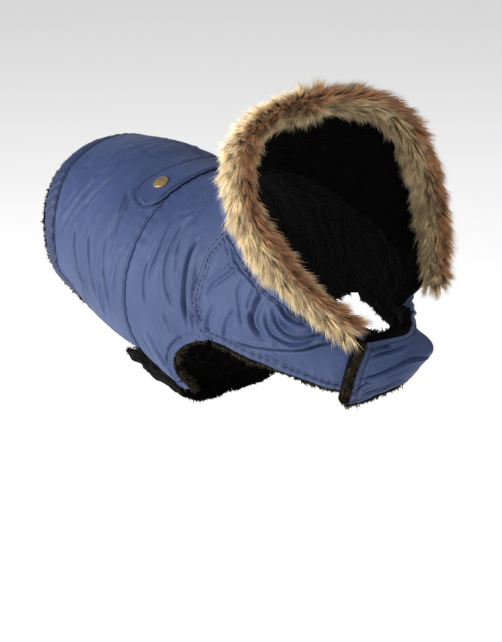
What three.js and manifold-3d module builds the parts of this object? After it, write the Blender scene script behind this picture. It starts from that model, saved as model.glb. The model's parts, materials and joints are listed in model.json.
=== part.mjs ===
import * as THREE from 'three';
import Module from 'manifold-3d';

// Dog winter coat, millimetres. +X to the head, +Y to the dog's left, +Z up.
// The origin is on the inside of the back, on the spine, where the wearer carries the coat.

// ---------------------------------------------------------------- sizes
const SHELL = 2.0;        // woven outer cloth with its backing
const PILE = 4.5;         // pile lining
const SEAM = 0.3;         // space left between neighbouring pieces
const LAP = 1.0;          // space where one piece lies on another
const FRINGE = 3;         // how far the pile stands past an open edge
const BELT = 2.3;         // half belt, two layers
const SNAP = { radius: 8, height: 2.4 };
const TRIM = { across: 20, thick: 10, endAcross: 14, endThick: 8.5 };   // half sizes of the fur band
const ROLL = 9;           // width of the pile edge on the chest flap

const BLUE = 0x5f6f9c, BLUE_DARK = 0x4b5c84, BLACK = 0x141313, BROWN_BLACK = 0x272322;
const FUR = 0xa98860, BRASS = 0x9a8257;

// How finely each edge is divided; pieces that meet share the points of their seam.
const CUTS = { waist: 12, tab: 3, backNeck: 4, shoulder: 6, notch: 5, neckSide: 9, neckFront: 3, flap: 8,
  side: 6, casing: 3, belly: 26, bellyAcross: 6, belt: 10, beltAcross: 3, hood: 6, roll: 3 };

// ---------------------------------------------------------------- the wearer's form
// One section of the body per row: top and bottom point of the section on the middle plane,
// its half width, and how far down the section (0 top, 1 bottom) it is widest.
const FORM = [
  // s, topX, topZ, botX, botZ, half, widest, narrow
  [0.0, -165, -19, -165, -150, 90, 0.50, 0.00],
  [0.2, -150, -7, -150, -166, 93.5, 0.50, 0.00],
  [1.0, -75, 11, -75, -200, 102, 0.50, 0.00],
  [2.0, 10, 6, 5, -227, 109, 0.50, 0.00],
  [3.0, 52, 8, 80, -238, 108, 0.50, 0.00],
  [4.0, 74, 13, 160, -224, 103, 0.50, 0.00],
  [5.0, 88, 18, 225, -194, 98, 0.51, 0.02],
  [6.0, 98, 23, 278, -160, 94, 0.52, 0.08],
  [7.0, 107, 28, 306, -120, 89, 0.53, 0.20],
  [7.8, 112, 31, 306, -84, 84, 0.54, 0.34],
];

// Edges and seams of one side, as [s, angle] on the form. Angle 0 is the spine, 180 the belly.
const REAR_EDGE = [
  // s, angle, width of the casing
  [0.28, 0, 19], [0.28, 12, 19], [0.28, 25, 19], [0.325, 44, 19], [0.40, 62, 19], [0.48, 78, 18.5],
  [0.54, 94, 17.5], [0.60, 106, 15], [0.72, 111, 11], [0.89, 112.4, 7], [1.12, 113.0, 2.5],
];
const SIDE_HEM = [[1.35, 114.6], [1.65, 113], [2.0, 112.4], [2.30, 111.2], [2.60, 110.5]];
const TAB_HEM = [[2.60, 110.5], [2.77, 114], [3.00, 119], [3.16, 124], [3.27, 128.5]];
const TAB_END = [[3.27, 128.5], [3.40, 127.5]];
const WAIST = [[2.82, 0], [2.80, 8], [2.73, 16], [2.64, 25], [2.55, 34], [2.46, 45], [2.43, 56], [2.39, 68],
  [2.39, 80], [2.42, 91], [2.50, 102], [2.60, 110.5]];
const BACK_NECK = [[6.70, 0], [6.70, 20], [6.70, 40], [6.72, 57]];
const SHOULDER = [[6.72, 57], [5.95, 60], [5.42, 63.5], [4.98, 71], [4.66, 77.5], [4.53, 83.5], [4.52, 90],
  [4.58, 99.5]];
const NOTCH_REAR = [[4.58, 99.5], [4.16, 99.5], [3.78, 102], [3.52, 106.5], [3.38, 112.5], [3.34, 119],
  [3.40, 127.5]];
const NECK_SIDE = [[6.72, 57], [7.04, 70], [7.17, 83], [7.22, 95], [7.28, 108], [7.42, 122], [7.58, 136],
  [7.68, 148]];
const NECK_FRONT = [[7.68, 148], [7.62, 160], [7.62, 172]];
const CHEST_SIDE = [[4.58, 99.5], [4.86, 103], [5.06, 107], [5.28, 111.5], [5.51, 116.5], [5.75, 124],
  [5.95, 133], [6.13, 147]];
const CHEST_FRONT = [[6.13, 147], [6.30, 159], [6.68, 172]];
const FLAP_NECK = [[7.68, -148], [7.72, -160], [7.77, -171], [7.79, -182], [7.745, -192], [7.66, -201],
  [7.52, -210.9]];
const FLAP_HEM = [[6.13, -147], [6.30, -155], [6.52, -165], [6.70, -175], [6.72, -183], [6.60, -189.4],
  [6.37, -195.4], [6.18, -199.6], [6.05, -203]];
const FLAP_EDGE = [[6.05, -203], [6.30, -206.5], [6.60, -209.8], [7.00, -212.2], [7.52, -210.9]];
const BELLY = [
  // s at the rear edge, angle there, s at the front edge, angle there
  [2.60, 106, 2.98, 111], [2.48, 112.5, 3.05, 116.5], [2.25, 119, 3.08, 122], [1.98, 125.5, 3.07, 128],
  [1.82, 132, 3.03, 134], [1.79, 142, 2.94, 143], [1.80, 152, 2.88, 152], [1.73, 165, 2.85, 165], [1.54, 180, 2.85, 180],
  [1.47, 195, 2.85, 195], [1.46, 210, 2.88, 210], [1.49, 224, 2.94, 224], [1.56, 238, 2.96, 238],
  [1.68, 250, 2.90, 249], [1.80, 258, 2.80, 258],
];
const HALF_BELT = [
  // angle, s at the rear edge, s at the front edge
  [0, 1.90, 2.76], [8, 1.885, 2.735], [16, 1.84, 2.66], [24, 1.78, 2.58], [30, 1.75, 2.52], [34, 1.76, 2.47],
  [37, 1.80, 2.38], [39, 1.88, 2.28], [40.2, 2.02, 2.15],
];
const SNAP_AT = [2.09, 26];

// Middle line of the fur band on the right side, from the crown to the throat.
const RING = [
  // angle, X, Y, Z
  [0, 172, 0, 99], [22, 176, -46, 95], [45, 187, -84, 84], [65, 201, -102, 63], [82, 214, -109, 36],
  [98, 231, -107, 9], [115, 251, -94, -21], [132, 273, -75, -48], [148, 296, -53, -72],
];
const RING_ENDS = [-139, 148];          // the left end stops short, behind the flap
const RING_AXIS = [0.84, 0, 0.54];      // the way the hood opens

// ---------------------------------------------------------------- small helpers
const add = (a, b, k = 1) => [a[0] + b[0] * k, a[1] + b[1] * k, a[2] + b[2] * k];
const sub = (a, b) => add(a, b, -1);
const dot = (a, b) => a[0] * b[0] + a[1] * b[1] + a[2] * b[2];
const cross = (a, b) => [a[1] * b[2] - a[2] * b[1], a[2] * b[0] - a[0] * b[2], a[0] * b[1] - a[1] * b[0]];
const unit = (a) => add([0, 0, 0], a, 1 / Math.hypot(...a));
const mix = (a, b, t) => a + (b - a) * t;
const mixp = (a, b, t) => a.map((x, k) => mix(x, b[k], t));
const soft = (t) => { const q = Math.min(1, Math.max(0, t)); return q * q * (3 - 2 * q); };
const rad = (d) => (d * Math.PI) / 180;

// Smooth curve through table rows, read at x of the first column; returns the other columns.
function through(rows, x) {
  const n = rows.length - 1;
  let i = 0;
  while (i < n - 1 && x > rows[i + 1][0]) i++;
  const slope = (k, c) => (rows[k + 1][c] - rows[k][c]) / (rows[k + 1][0] - rows[k][0]);
  const tangent = (k, c) => {
    if (k === 0) return slope(0, c);
    if (k === n) return slope(n - 1, c);
    const h0 = rows[k][0] - rows[k - 1][0], h1 = rows[k + 1][0] - rows[k][0];
    return (slope(k - 1, c) * h1 + slope(k, c) * h0) / (h0 + h1);
  };
  const h = rows[i + 1][0] - rows[i][0];
  const t = Math.min(1, Math.max(0, (x - rows[i][0]) / h));
  const t2 = t * t, t3 = t2 * t;
  return rows[0].slice(1).map((_, k) => {
    const c = k + 1;
    return (2 * t3 - 3 * t2 + 1) * rows[i][c] + (t3 - 2 * t2 + t) * h * tangent(i, c)
      + (3 * t2 - 2 * t3) * rows[i + 1][c] + (t3 - t2) * h * tangent(i + 1, c);
  });
}

// Point on the outside of the coat. Positive angles are the dog's right side.
function form(s, angle) {
  const [topX, topZ, botX, botZ, half, widest, narrow] = through(FORM, s);
  const c = Math.cos(rad(angle));
  const t = c > 0 ? widest * (1 - c) : widest + (1 - widest) * -c;
  const y = -half * Math.sin(rad(angle)) * (1 - narrow * Math.max(0, -c));
  return [mix(topX, botX, t), y, mix(topZ, botZ, t)];
}

// On the dog's left the flap stands off the chest in a corner and draws in behind it at the neck.
function corner(s, angle) {
  const a = angle > 0 ? angle - 360 : angle;
  const hill = (s0, a0, ws, wa) => Math.exp(-(((s - s0) / ws) ** 2) - ((a - a0) / wa) ** 2);
  return 17 * hill(7.34, -163, 0.24, 10) + 7.5 * hill(7.05, -166, 0.34, 20) - 18 * hill(7.4, -129, 0.5, 20);
}

function surface(s, angle) {
  const e = 0.004, d = 0.25;
  const p = form(s, angle);
  const n = unit(cross(sub(form(s, angle + d), form(s, angle - d)), sub(form(s + e, angle), form(s - e, angle))));
  return { p: add(p, n, corner(s, angle)), n };
}

// Evenly spaced samples of an [s, angle] edge, by length on the form.
function sample(edge, count) {
  const fine = [];
  const rows = edge.map((r, k) => [k, ...r]);
  for (let k = 0; k <= 240; k++) fine.push(through(rows, (k / 240) * (edge.length - 1)));
  const run = [0];
  for (let k = 1; k < fine.length; k++) {
    run.push(run[k - 1] + Math.hypot(...sub(surface(...fine[k]).p, surface(...fine[k - 1]).p)));
  }
  return Array.from({ length: count + 1 }, (_, k) => {
    const want = (run[240] * k) / count;
    let i = 0;
    while (i < 239 && run[i + 1] < want) i++;
    return mixp(fine[i], fine[i + 1], (want - run[i]) / (run[i + 1] - run[i]));
  });
}
const flip = (edge) => [...edge].reverse();
const other = (edge) => edge.map(([s, a]) => [s, -a]);
const join = (...edges) => edges.reduce((all, e) => (all.length ? [...all, ...e.slice(1)] : [...e]), []);

// Fill four [s, angle] edges: low and high run along j, start and end run along i from low to high.
function fill(low, high, start, end) {
  const nj = low.length - 1, ni = start.length - 1;
  return start.map((_, i) => low.map((__, j) => {
    const u = i / ni, v = j / nj;
    return [0, 1].map((k) => mix(low[j][k], high[j][k], u) + mix(start[i][k], end[i][k], v)
      - mix(mix(low[0][k], low[nj][k], v), mix(high[0][k], high[nj][k], v), u));
  }));
}
const straight = (a, b, count) => Array.from({ length: count + 1 }, (_, k) => mixp(a, b, k / count));
const steps = (a, b, count) => Array.from({ length: count + 1 }, (_, k) => mix(a, b, k / count));

// ---------------------------------------------------------------- building solids
function solid(name, color, points, faces) {
  let volume = 0;
  for (const [a, b, c] of faces) volume += dot(points[a], cross(points[b], points[c]));
  const index = volume > 0 ? faces : faces.map(([a, b, c]) => [a, c, b]);
  const geometry = new THREE.BufferGeometry();
  geometry.setAttribute('position', new THREE.Float32BufferAttribute(points.flat(), 3));
  geometry.setIndex(index.flat());
  const mesh = new THREE.Mesh(geometry, new THREE.MeshStandardMaterial({ color }));
  mesh.name = name;
  return mesh;
}

// A cloth panel: grid[i][j] = {p, n}. Outer and inner are offsets along n, numbers or functions of i, j.
// grow = [low, high, start, end] moves each edge outwards by mm, numbers or functions along the edge.
function panel(name, color, grid, outer, inner, grow) {
  const ni = grid.length - 1, nj = grid[0].length - 1;
  const at = (q) => (typeof q === 'function' ? q : () => q);
  const far = at(outer), near = at(inner), [low, high, start, end] = grow.map(at);
  const P = grid.map((row) => row.map((q) => q.p));
  const moved = P.map((row) => row.map((p) => [...p]));
  const push = (i, j, k, l, mm) => { moved[i][j] = add(moved[i][j], unit(sub(P[i][j], P[k][l])), mm); };
  for (let j = 0; j <= nj; j++) {
    push(0, j, 1, j, low(j));
    push(ni, j, ni - 1, j, high(j));
  }
  for (let i = 0; i <= ni; i++) {
    push(i, 0, i, 1, start(i));
    push(i, nj, i, nj - 1, end(i));
  }
  const points = [], faces = [], W = nj + 1, base = (ni + 1) * W;
  for (const side of [far, near]) {
    for (let i = 0; i <= ni; i++) {
      for (let j = 0; j <= nj; j++) points.push(add(moved[i][j], grid[i][j].n, side(i, j, i / ni, j / nj)));
    }
  }
  for (let i = 0; i < ni; i++) {
    for (let j = 0; j < nj; j++) {
      const a = i * W + j, b = a + 1, c = a + W, d = c + 1;
      const even = Math.hypot(...sub(P[i][j], P[i + 1][j + 1])) < Math.hypot(...sub(P[i][j + 1], P[i + 1][j]));
      const two = even ? [[a, b, d], [a, d, c]] : [[a, b, c], [b, d, c]];
      for (const [x, y, z] of two) faces.push([x, y, z], [x + base, z + base, y + base]);
    }
  }
  const rim = [];
  for (let j = 0; j < nj; j++) rim.push(j);
  for (let i = 0; i < ni; i++) rim.push(i * W + nj);
  for (let j = nj; j > 0; j--) rim.push(ni * W + j);
  for (let i = ni; i > 0; i--) rim.push(i * W);
  rim.forEach((a, k) => {
    const b = rim[(k + 1) % rim.length], c = a + base, d = b + base;
    const short = Math.hypot(...sub(points[b], points[c])) < Math.hypot(...sub(points[a], points[d]));
    faces.push(...(short ? [[b, a, c], [b, c, d]] : [[b, a, d], [a, c, d]]));
  });
  return solid(name, color, points, faces);
}
const onForm = (grid) => grid.map((row) => row.map(([s, a]) => surface(s, a)));

const GAP = -SEAM / 2;
const LINING = [-SHELL - SEAM, -SHELL - SEAM - PILE];
const coat = new THREE.Group();

// ---------------------------------------------------------------- skirt and its casing
const waist = sample(WAIST, CUTS.waist);
const rear = sample(REAR_EDGE, CUTS.waist);
const whole = (half) => join(other(flip(half)), half);
// Move an edge point into the cloth, square to the edge, by its own width.
const casingTop = rear.map(([s, a, width], k) => {
  const gs = Math.hypot(...sub(form(s + 0.01, a), form(s, a))) * 100;
  const ga = Math.hypot(...sub(form(s, a + 0.5), form(s, a - 0.5)));
  const [p, q] = [rear[Math.max(0, k - 1)], rear[Math.min(CUTS.waist, k + 1)]];
  const [ds, da] = k === 0 ? [0, 1] : [(q[0] - p[0]) * gs, (q[1] - p[1]) * ga];
  const len = Math.hypot(ds, da);
  return [s + (width * da) / len / gs, a - (width * ds) / len / ga];
});
const rearEdge = rear.map(([s, a]) => [s, a]);
const rearEnd = rearEdge[CUTS.waist], casingEnd = casingTop[CUTS.waist];
const sideHem = sample([casingEnd, ...SIDE_HEM], CUTS.side);
const endStrip = straight(rearEnd, casingEnd, CUTS.casing);
const skirt = onForm(fill(whole(casingTop), whole(waist), other(sideHem), sideHem));
const casing = onForm(fill(whole(rearEdge), whole(casingTop), other(endStrip), endStrip));
const skirtBack = [...casing, ...skirt.slice(1)];
const casingPuff = (i, j) => 2.6 * Math.sin(Math.PI * mix(0.12, 0.88, i / CUTS.casing))
  * soft((CUTS.waist + 0.6 - Math.abs(j - CUTS.waist)) / 2.5);
coat.add(panel('skirt_shell', BLUE, skirt, 0, -SHELL, [GAP, GAP, 0, 0]));
coat.add(panel('hem_casing', BLUE_DARK, casing, casingPuff, -SHELL, [0, GAP, GAP, GAP]));
coat.add(panel('skirt_lining', BLACK, skirtBack, LINING[0], LINING[1], [FRINGE, GAP, FRINGE, FRINGE]));

// ---------------------------------------------------------------- body between waist and shoulders
const shoulder = sample(SHOULDER, CUTS.shoulder);
const backNeck = sample(BACK_NECK, CUTS.backNeck);
const bodyFront = join(backNeck, shoulder, sample(NOTCH_REAR, CUTS.notch));
const bodyRear = join(waist, sample(TAB_HEM, CUTS.tab));
const tabEnd = sample(TAB_END, CUTS.shoulder);
const body = onForm(fill(whole(bodyRear), whole(bodyFront), other(tabEnd), tabEnd));
const middle = CUTS.waist + CUTS.tab;
const fringed = (from) => (j) => (Math.abs(j - middle) > from ? FRINGE : GAP);

// ---------------------------------------------------------------- fronts, each with its chest strap
const neckSide = sample(NECK_SIDE, CUTS.neckSide);
const chestSide = sample(CHEST_SIDE, CUTS.neckSide);
const strapEnd = sample([CHEST_FRONT[2], NECK_FRONT[2]], CUTS.shoulder);
const front = onForm(fill(join(chestSide, sample(CHEST_FRONT, CUTS.neckFront)),
  join(neckSide, sample(NECK_FRONT, CUTS.neckFront)), flip(shoulder), strapEnd));

// The left front goes on over the chest as the closing flap and lies on the right strap.
const LIFT = LAP + PILE + SEAM + SHELL;
const lift = (angle) => LIFT * (1 - soft((angle + 184) / 26));
const leftGrid = fill(join(other(chestSide), sample(FLAP_HEM, CUTS.flap)),
  join(other(neckSide), sample(FLAP_NECK, CUTS.flap)), other(flip(shoulder)), sample(FLAP_EDGE, CUTS.shoulder));
const left = onForm(leftGrid);
const raised = (base) => (i, j) => base + lift(leftGrid[i][j][1]);

// Pile edge rolled round the free edge of the flap.
const rollGrid = leftGrid.map((row) => {
  const [s, a] = row[row.length - 1];
  const step = Math.hypot(...sub(form(s, a - 1), form(s, a)));
  return straight([s, a], [s, a - (ROLL + SEAM) / step], CUTS.roll);
});
coat.add(panel('flap_edge_roll', BROWN_BLACK, onForm(rollGrid),
  (i, j) => LIFT + [-0.4, 1.2, 0.6, -2.2][j], LINING[1] + LIFT + 0.2, [1.5, -5, -SEAM, 0]));

// ---------------------------------------------------------------- flap under the belly
// It tucks inside the right body tab and is sewn inside the left one.
const tabLine = (s) => 111 + 17 * soft((s - 2.4) / 0.9);
const tuck = (s, a) => {
  const near = a < 180 ? a : 360 - a;
  return mix(LINING[1] - LAP, -0.8, soft((near - tabLine(s) - 3) / 10)) - 13 * soft((near - 146) / 34);
};
const bellyGrid = steps(0, 1, CUTS.bellyAcross).map((u) => steps(0, BELLY.length - 1, CUTS.belly).map((v) => {
  const [s0, a0, s1, a1] = through(BELLY.map((r, k) => [k, ...r]), v);
  return [mix(s0, s1, u), mix(a0, a1, u)];
}));
coat.add(panel('belly_flap', BLACK, onForm(bellyGrid), (i, j) => tuck(...bellyGrid[i][j]),
  (i, j) => tuck(...bellyGrid[i][j]) - PILE, [0, 0, 0, 0]));

// ---------------------------------------------------------------- half belt and snaps
const beltHalf = steps(0, HALF_BELT.length - 1, CUTS.belt).map((v) => through(
  HALF_BELT.map((r, k) => [k, ...r]), v));
const beltRows = [...flip(beltHalf).map(([a, s0, s1]) => [-a, s0, s1]), ...beltHalf.slice(1)];
const belt = onForm(steps(0, 1, CUTS.beltAcross).map((u) => beltRows.map(([a, s0, s1]) => [mix(s0, s1, u), a])));
coat.add(panel('half_belt', BLUE, belt, 0.6 + BELT, 0.6, [0, 0, 0, 0]));

function snap(name, angle) {
  const { p, n } = surface(SNAP_AT[0], angle);
  const { radius: r, height: h } = SNAP;
  const profile = [[0, 0], [r, 0], [r, h * 0.45], [r * 0.82, h * 0.85], [r * 0.45, h], [0, h]];
  const side = unit(cross(n, [1, 0, 0])), up = cross(side, n);
  const seat = add(p, n, 0.6 + BELT + 1.6 * SEAM);
  const points = [add(seat, n, 0)], faces = [], N = 20;
  for (const [q, z] of profile.slice(1, -1)) {
    for (let k = 0; k < N; k++) {
      const t = (2 * Math.PI * k) / N;
      points.push(add(add(add(seat, side, q * Math.cos(t)), up, q * Math.sin(t)), n, z));
    }
  }
  points.push(add(seat, n, h));
  const last = points.length - 1;
  for (let k = 0; k < N; k++) {
    const m = (k + 1) % N;
    faces.push([0, 1 + m, 1 + k], [last, last - N + k, last - N + m]);
    for (let ring = 0; ring < 3; ring++) {
      const a = 1 + ring * N + k, b = 1 + ring * N + m;
      faces.push([a, b, b + N], [a, b + N, a + N]);
    }
  }
  return solid(name, BRASS, points, faces);
}
coat.add(snap('snap_right', SNAP_AT[1]));
coat.add(snap('snap_left', -SNAP_AT[1]));

// ---------------------------------------------------------------- fur band
function ringPoint(angle) {
  const mirrored = [...flip(RING.slice(1)).map(([a, x, y, z]) => [-a, x, -y, z]), ...RING];
  return through(mirrored, angle);
}
function ringFrame(angle) {
  const c = ringPoint(angle);
  const t = unit(sub(ringPoint(angle + 0.5), ringPoint(angle - 0.5)));
  const a0 = unit(RING_AXIS);
  const axis = unit(add(a0, t, -dot(a0, t)));
  const out = cross(t, axis);
  const taper = soft((Math.abs(angle) - 105) / 43);
  return { c, t, axis, out, across: mix(TRIM.across, TRIM.endAcross, taper),
    thick: mix(TRIM.thick, TRIM.endThick, taper) };
}
function furBand(name, grow) {
  const N = 12, [first, last] = RING_ENDS, caps = [[9, 0.3], [7, 0.68], [3.8, 0.92]];
  const stations = caps.map(([ahead, k]) => [first, -ahead, k]);
  for (const a of steps(first, last, 40)) stations.push([a, 0, 1]);
  for (const [ahead, k] of flip(caps)) stations.push([last, ahead, k]);
  const points = [], faces = [];
  for (const [angle, ahead, k] of stations) {
    const f = ringFrame(angle);
    for (let m = 0; m < N; m++) {
      const t = (2 * Math.PI * (m + 0.5)) / N, c = Math.cos(t), s = Math.sin(t);
      const a = Math.sign(c) * Math.abs(c) ** 0.8 * (f.across * k + grow);
      const o = Math.sign(s) * Math.abs(s) ** 0.8 * (f.thick * k + grow);
      points.push(add(add(add(f.c, f.t, ahead + Math.sign(ahead) * grow), f.axis, a), f.out, o));
    }
  }
  const rows = stations.length;
  for (let i = 0; i + 1 < rows; i++) {
    for (let m = 0; m < N; m++) {
      const a = i * N + m, b = i * N + ((m + 1) % N);
      faces.push([a, b, b + N], [a, b + N, a + N]);
    }
  }
  for (let m = 1; m + 1 < N; m++) {
    faces.push([0, m + 1, m], [(rows - 1) * N, (rows - 1) * N + m, (rows - 1) * N + m + 1]);
  }
  return solid(name, FUR, points, faces);
}

// ---------------------------------------------------------------- hood
// From the neck seam out to the back of the fur band, with a soft belly between them.
const hoodFoot = join(backNeck, neckSide);
function hoodPoint(u, s, angle) {
  const foot = surface(s, angle).p;
  const f = ringFrame(angle);
  const edge = add(add(f.c, f.axis, -0.85 * f.across), f.out, (SHELL + SEAM + PILE) / 2);
  const puff = 9 * Math.sin(Math.PI * u) * soft((136 - Math.abs(angle)) / 60);
  const p = mixp(foot, edge, u);
  return add(p, unit([-0.5, -Math.sin(rad(angle)), 0.25 * Math.cos(rad(angle))]), puff);
}
function hoodGrid(sign) {
  const columns = hoodFoot.filter(([, a]) => a <= sign * RING_ENDS[sign > 0 ? 1 : 0] - 4);
  const P = steps(0, 1, CUTS.hood).map((u) => columns.map(([s, a]) => hoodPoint(u, s, sign * a)));
  const last = columns.length - 1;
  return P.map((row, i) => row.map((p, j) => {
    const along = sub(row[Math.min(last, j + 1)], row[Math.max(0, j - 1)]);
    const out = sub(P[Math.min(CUTS.hood, i + 1)][j], P[Math.max(0, i - 1)][j]);
    if (j === 0) along[0] = along[2] = 0;
    return { p, n: unit(add([0, 0, 0], cross(along, out), sign)) };
  }));
}
const hood = { right: hoodGrid(1), left: hoodGrid(-1) };

// Where the hood meets the body at an angle, both thicknesses end on the plane that halves it.
function mitre(row, at, hoodSide) {
  hood[hoodSide][0].forEach((h, k) => {
    const q = row[at(k)];
    if (!q) return;
    q.own = q.own || q.n;
    h.own = h.own || h.n;
    const half = unit(add(q.own, h.own));
    q.n = add([0, 0, 0], half, 1 / dot(half, q.own));
    h.n = add([0, 0, 0], half, 1 / dot(half, h.own));
  });
}
const topOf = (grid) => grid[grid.length - 1];
for (const [hoodSide, sign] of [['right', 1], ['left', -1]]) {
  mitre(topOf(body), (k) => (k <= CUTS.backNeck ? middle + sign * k : -1), hoodSide);
  mitre(topOf(sign > 0 ? front : left), (k) => k - CUTS.backNeck, hoodSide);
}

coat.add(panel('body_shell', BLUE, body, 0, -SHELL, [GAP, GAP, 0, 0]));
coat.add(panel('body_lining', BLACK, body, LINING[0], LINING[1],
  [fringed(CUTS.waist), fringed(CUTS.backNeck + CUTS.shoulder), FRINGE, FRINGE]));
coat.add(panel('front_right_shell', BLUE, front, 0, -SHELL, [0, GAP, GAP, 0]));
coat.add(panel('front_right_lining', BLACK, front, LINING[0], LINING[1], [FRINGE, GAP, GAP, 0]));
coat.add(panel('front_left_shell', BLUE, left, raised(0), raised(-SHELL), [0, GAP, GAP, 0]));
coat.add(panel('front_left_lining', BLACK, left, (i, j) => raised(LINING[0])(i, j) - (i ? 0 : 0.8),
  raised(LINING[1]), [FRINGE, GAP, GAP, 0]));

// The hood cloth runs on under the band, so it is trimmed back to it.
const wasm = await Module();
wasm.setup();
const toSolid = (mesh) => new wasm.Manifold(new wasm.Mesh({ numProp: 3,
  vertProperties: new Float32Array(mesh.geometry.getAttribute('position').array),
  triVerts: new Uint32Array(mesh.geometry.index.array) }));
const bandRoom = toSolid(furBand('room', 2 * SEAM));
function trimmed(mesh) {
  const cut = toSolid(mesh).subtract(bandRoom).getMesh();
  mesh.geometry = new THREE.BufferGeometry();
  mesh.geometry.setAttribute('position', new THREE.Float32BufferAttribute(cut.vertProperties, 3));
  mesh.geometry.setIndex(new THREE.Uint32BufferAttribute(cut.triVerts, 1));
  return mesh;
}
for (const side of ['right', 'left']) {
  coat.add(trimmed(panel(`hood_${side}_shell`, BLUE, hood[side], 0, -SHELL, [GAP, 0, GAP, 0])));
  coat.add(trimmed(panel(`hood_${side}_lining`, BLACK, hood[side], LINING[0], LINING[1], [GAP, 0, GAP, 0])));
}
coat.add(furBand('fur_trim', 0));

export default coat;
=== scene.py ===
# %% [markdown]
# # A small dog's winter coat
# The coat is shown as it is worn, with nothing inside it. It is sewn from woven blue cloth lined with
# black curly pile, and a long-haired band edges the hood. Each cut piece becomes one mesh here, made
# from the same body form and the same seam tables as its solid, so that everything meets.

# %% Load the frame
import itertools
import json
import math
import bmesh
import bpy
import numpy as np
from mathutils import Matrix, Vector

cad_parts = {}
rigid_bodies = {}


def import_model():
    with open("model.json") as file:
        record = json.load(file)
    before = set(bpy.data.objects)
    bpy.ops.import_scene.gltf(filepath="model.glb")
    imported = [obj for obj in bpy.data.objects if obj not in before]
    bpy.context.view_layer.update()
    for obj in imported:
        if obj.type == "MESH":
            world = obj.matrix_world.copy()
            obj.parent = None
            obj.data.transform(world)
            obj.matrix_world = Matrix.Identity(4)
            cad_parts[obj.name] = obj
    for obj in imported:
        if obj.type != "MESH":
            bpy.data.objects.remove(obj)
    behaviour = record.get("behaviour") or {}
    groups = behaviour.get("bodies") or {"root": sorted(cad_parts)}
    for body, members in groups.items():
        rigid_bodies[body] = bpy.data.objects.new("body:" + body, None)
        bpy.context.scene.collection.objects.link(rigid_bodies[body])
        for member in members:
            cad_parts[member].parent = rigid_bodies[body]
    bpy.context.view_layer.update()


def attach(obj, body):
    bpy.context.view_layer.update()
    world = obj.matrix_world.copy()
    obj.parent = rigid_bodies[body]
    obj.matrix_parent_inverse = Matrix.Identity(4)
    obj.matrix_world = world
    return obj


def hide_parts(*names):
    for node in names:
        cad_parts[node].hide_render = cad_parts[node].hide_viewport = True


for leftover in list(bpy.data.objects):
    bpy.data.objects.remove(leftover)
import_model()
MM = 0.001

# %% [markdown]
# ## Camera, floor and light
# A long lens from the right front and above shows the coat as a shop would. The floor is pale and
# plain. A wide soft light stands low beside the camera, so that the flanks are brighter than the back.

# %% Camera
AZIMUTH, ELEVATION, DISTANCE = math.radians(50), math.radians(22), 1.8
TARGET = Vector((0.095, 0.0, -0.139))
LENS, SENSOR = 100.93, 36.0


def view_from(azimuth, elevation):
    """The way from the target to someone standing at that azimuth and height."""
    return Vector((math.sin(azimuth) * math.cos(elevation), -math.cos(azimuth) * math.cos(elevation),
                   math.sin(elevation)))


camera = bpy.data.objects.new("camera", bpy.data.cameras.new("camera"))
bpy.context.scene.collection.objects.link(camera)
camera.data.lens, camera.data.sensor_width = LENS, SENSOR
away = view_from(AZIMUTH, ELEVATION)
camera.location = TARGET + away * DISTANCE
camera.rotation_euler = away.to_track_quat("Z", "Y").to_euler()
bpy.context.scene.camera = camera
bpy.context.scene.view_settings.view_transform = "Standard"
print("camera at", [round(x, 3) for x in camera.location])


# %% Lights
def soft_light(name, azimuth, elevation, distance, size, power):
    """A square white area light that faces the coat."""
    light = bpy.data.lights.new(name, "AREA")
    light.size, light.energy = size, power
    lamp = bpy.data.objects.new(name, light)
    bpy.context.scene.collection.objects.link(lamp)
    way = view_from(math.radians(azimuth), math.radians(elevation))
    lamp.location = TARGET + way * distance
    lamp.rotation_euler = way.to_track_quat("Z", "Y").to_euler()


LIGHTS = [
    # name, azimuth and elevation in degrees, distance and size in metres, power in watts
    ("key", -18, 17, 1.7, 0.8, 40),
    ("fill", 72, 44, 2.0, 1.0, 17),
    ("rim", 190, 50, 2.0, 0.8, 6),
]
for lamp_row in LIGHTS:
    soft_light(*lamp_row)
WORLD_GLOW = 0.13
world = bpy.context.scene.world or bpy.data.worlds.new("world")
bpy.context.scene.world = world
world.use_nodes = True
world.node_tree.nodes["Background"].inputs["Color"].default_value = (1, 1, 1, 1)
world.node_tree.nodes["Background"].inputs["Strength"].default_value = WORLD_GLOW

# %% [markdown]
# ## Finishes
# Every finish is built from nodes. A small helper adds a node and sets its sockets, and another
# chains a few bumps, so that each recipe reads as a short list.


# %% Node helpers
def adder(tree):
    """A way to add nodes to a tree: kind, settings, and sockets by name or, as i0, i1, by number."""
    def add(kind, settings=None, **sockets):
        node = tree.nodes.new(kind)
        for key, value in (settings or {}).items():
            setattr(node, key, value)
        for key, value in sockets.items():
            socket = node.inputs[int(key[1:])] if key[0] == "i" and key[1:].isdigit() else node.inputs[key]
            if isinstance(value, bpy.types.NodeSocket):
                tree.links.new(value, socket)
            else:
                socket.default_value = value
        return node

    return add


def new_material(name, roughness, sheen=0.0, metallic=0.0):
    """A material with a principled shader, and ways to add and link its nodes."""
    material = bpy.data.materials.new(name)
    material.use_nodes = True
    tree = material.node_tree
    shader = tree.nodes["Principled BSDF"]
    shader.inputs["Roughness"].default_value = roughness
    shader.inputs["Metallic"].default_value = metallic
    shader.inputs["Sheen Weight"].default_value = sheen
    shader.inputs["Sheen Roughness"].default_value = 0.5
    return material, shader, adder(tree), tree.links.new


def speckle(add, where, scale, detail, roughness=0.5, **more):
    """The grey value of a noise texture."""
    node = add("ShaderNodeTexNoise", Vector=where, Scale=scale, Detail=detail, Roughness=roughness, **more)
    return node.outputs["Fac"]


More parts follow.
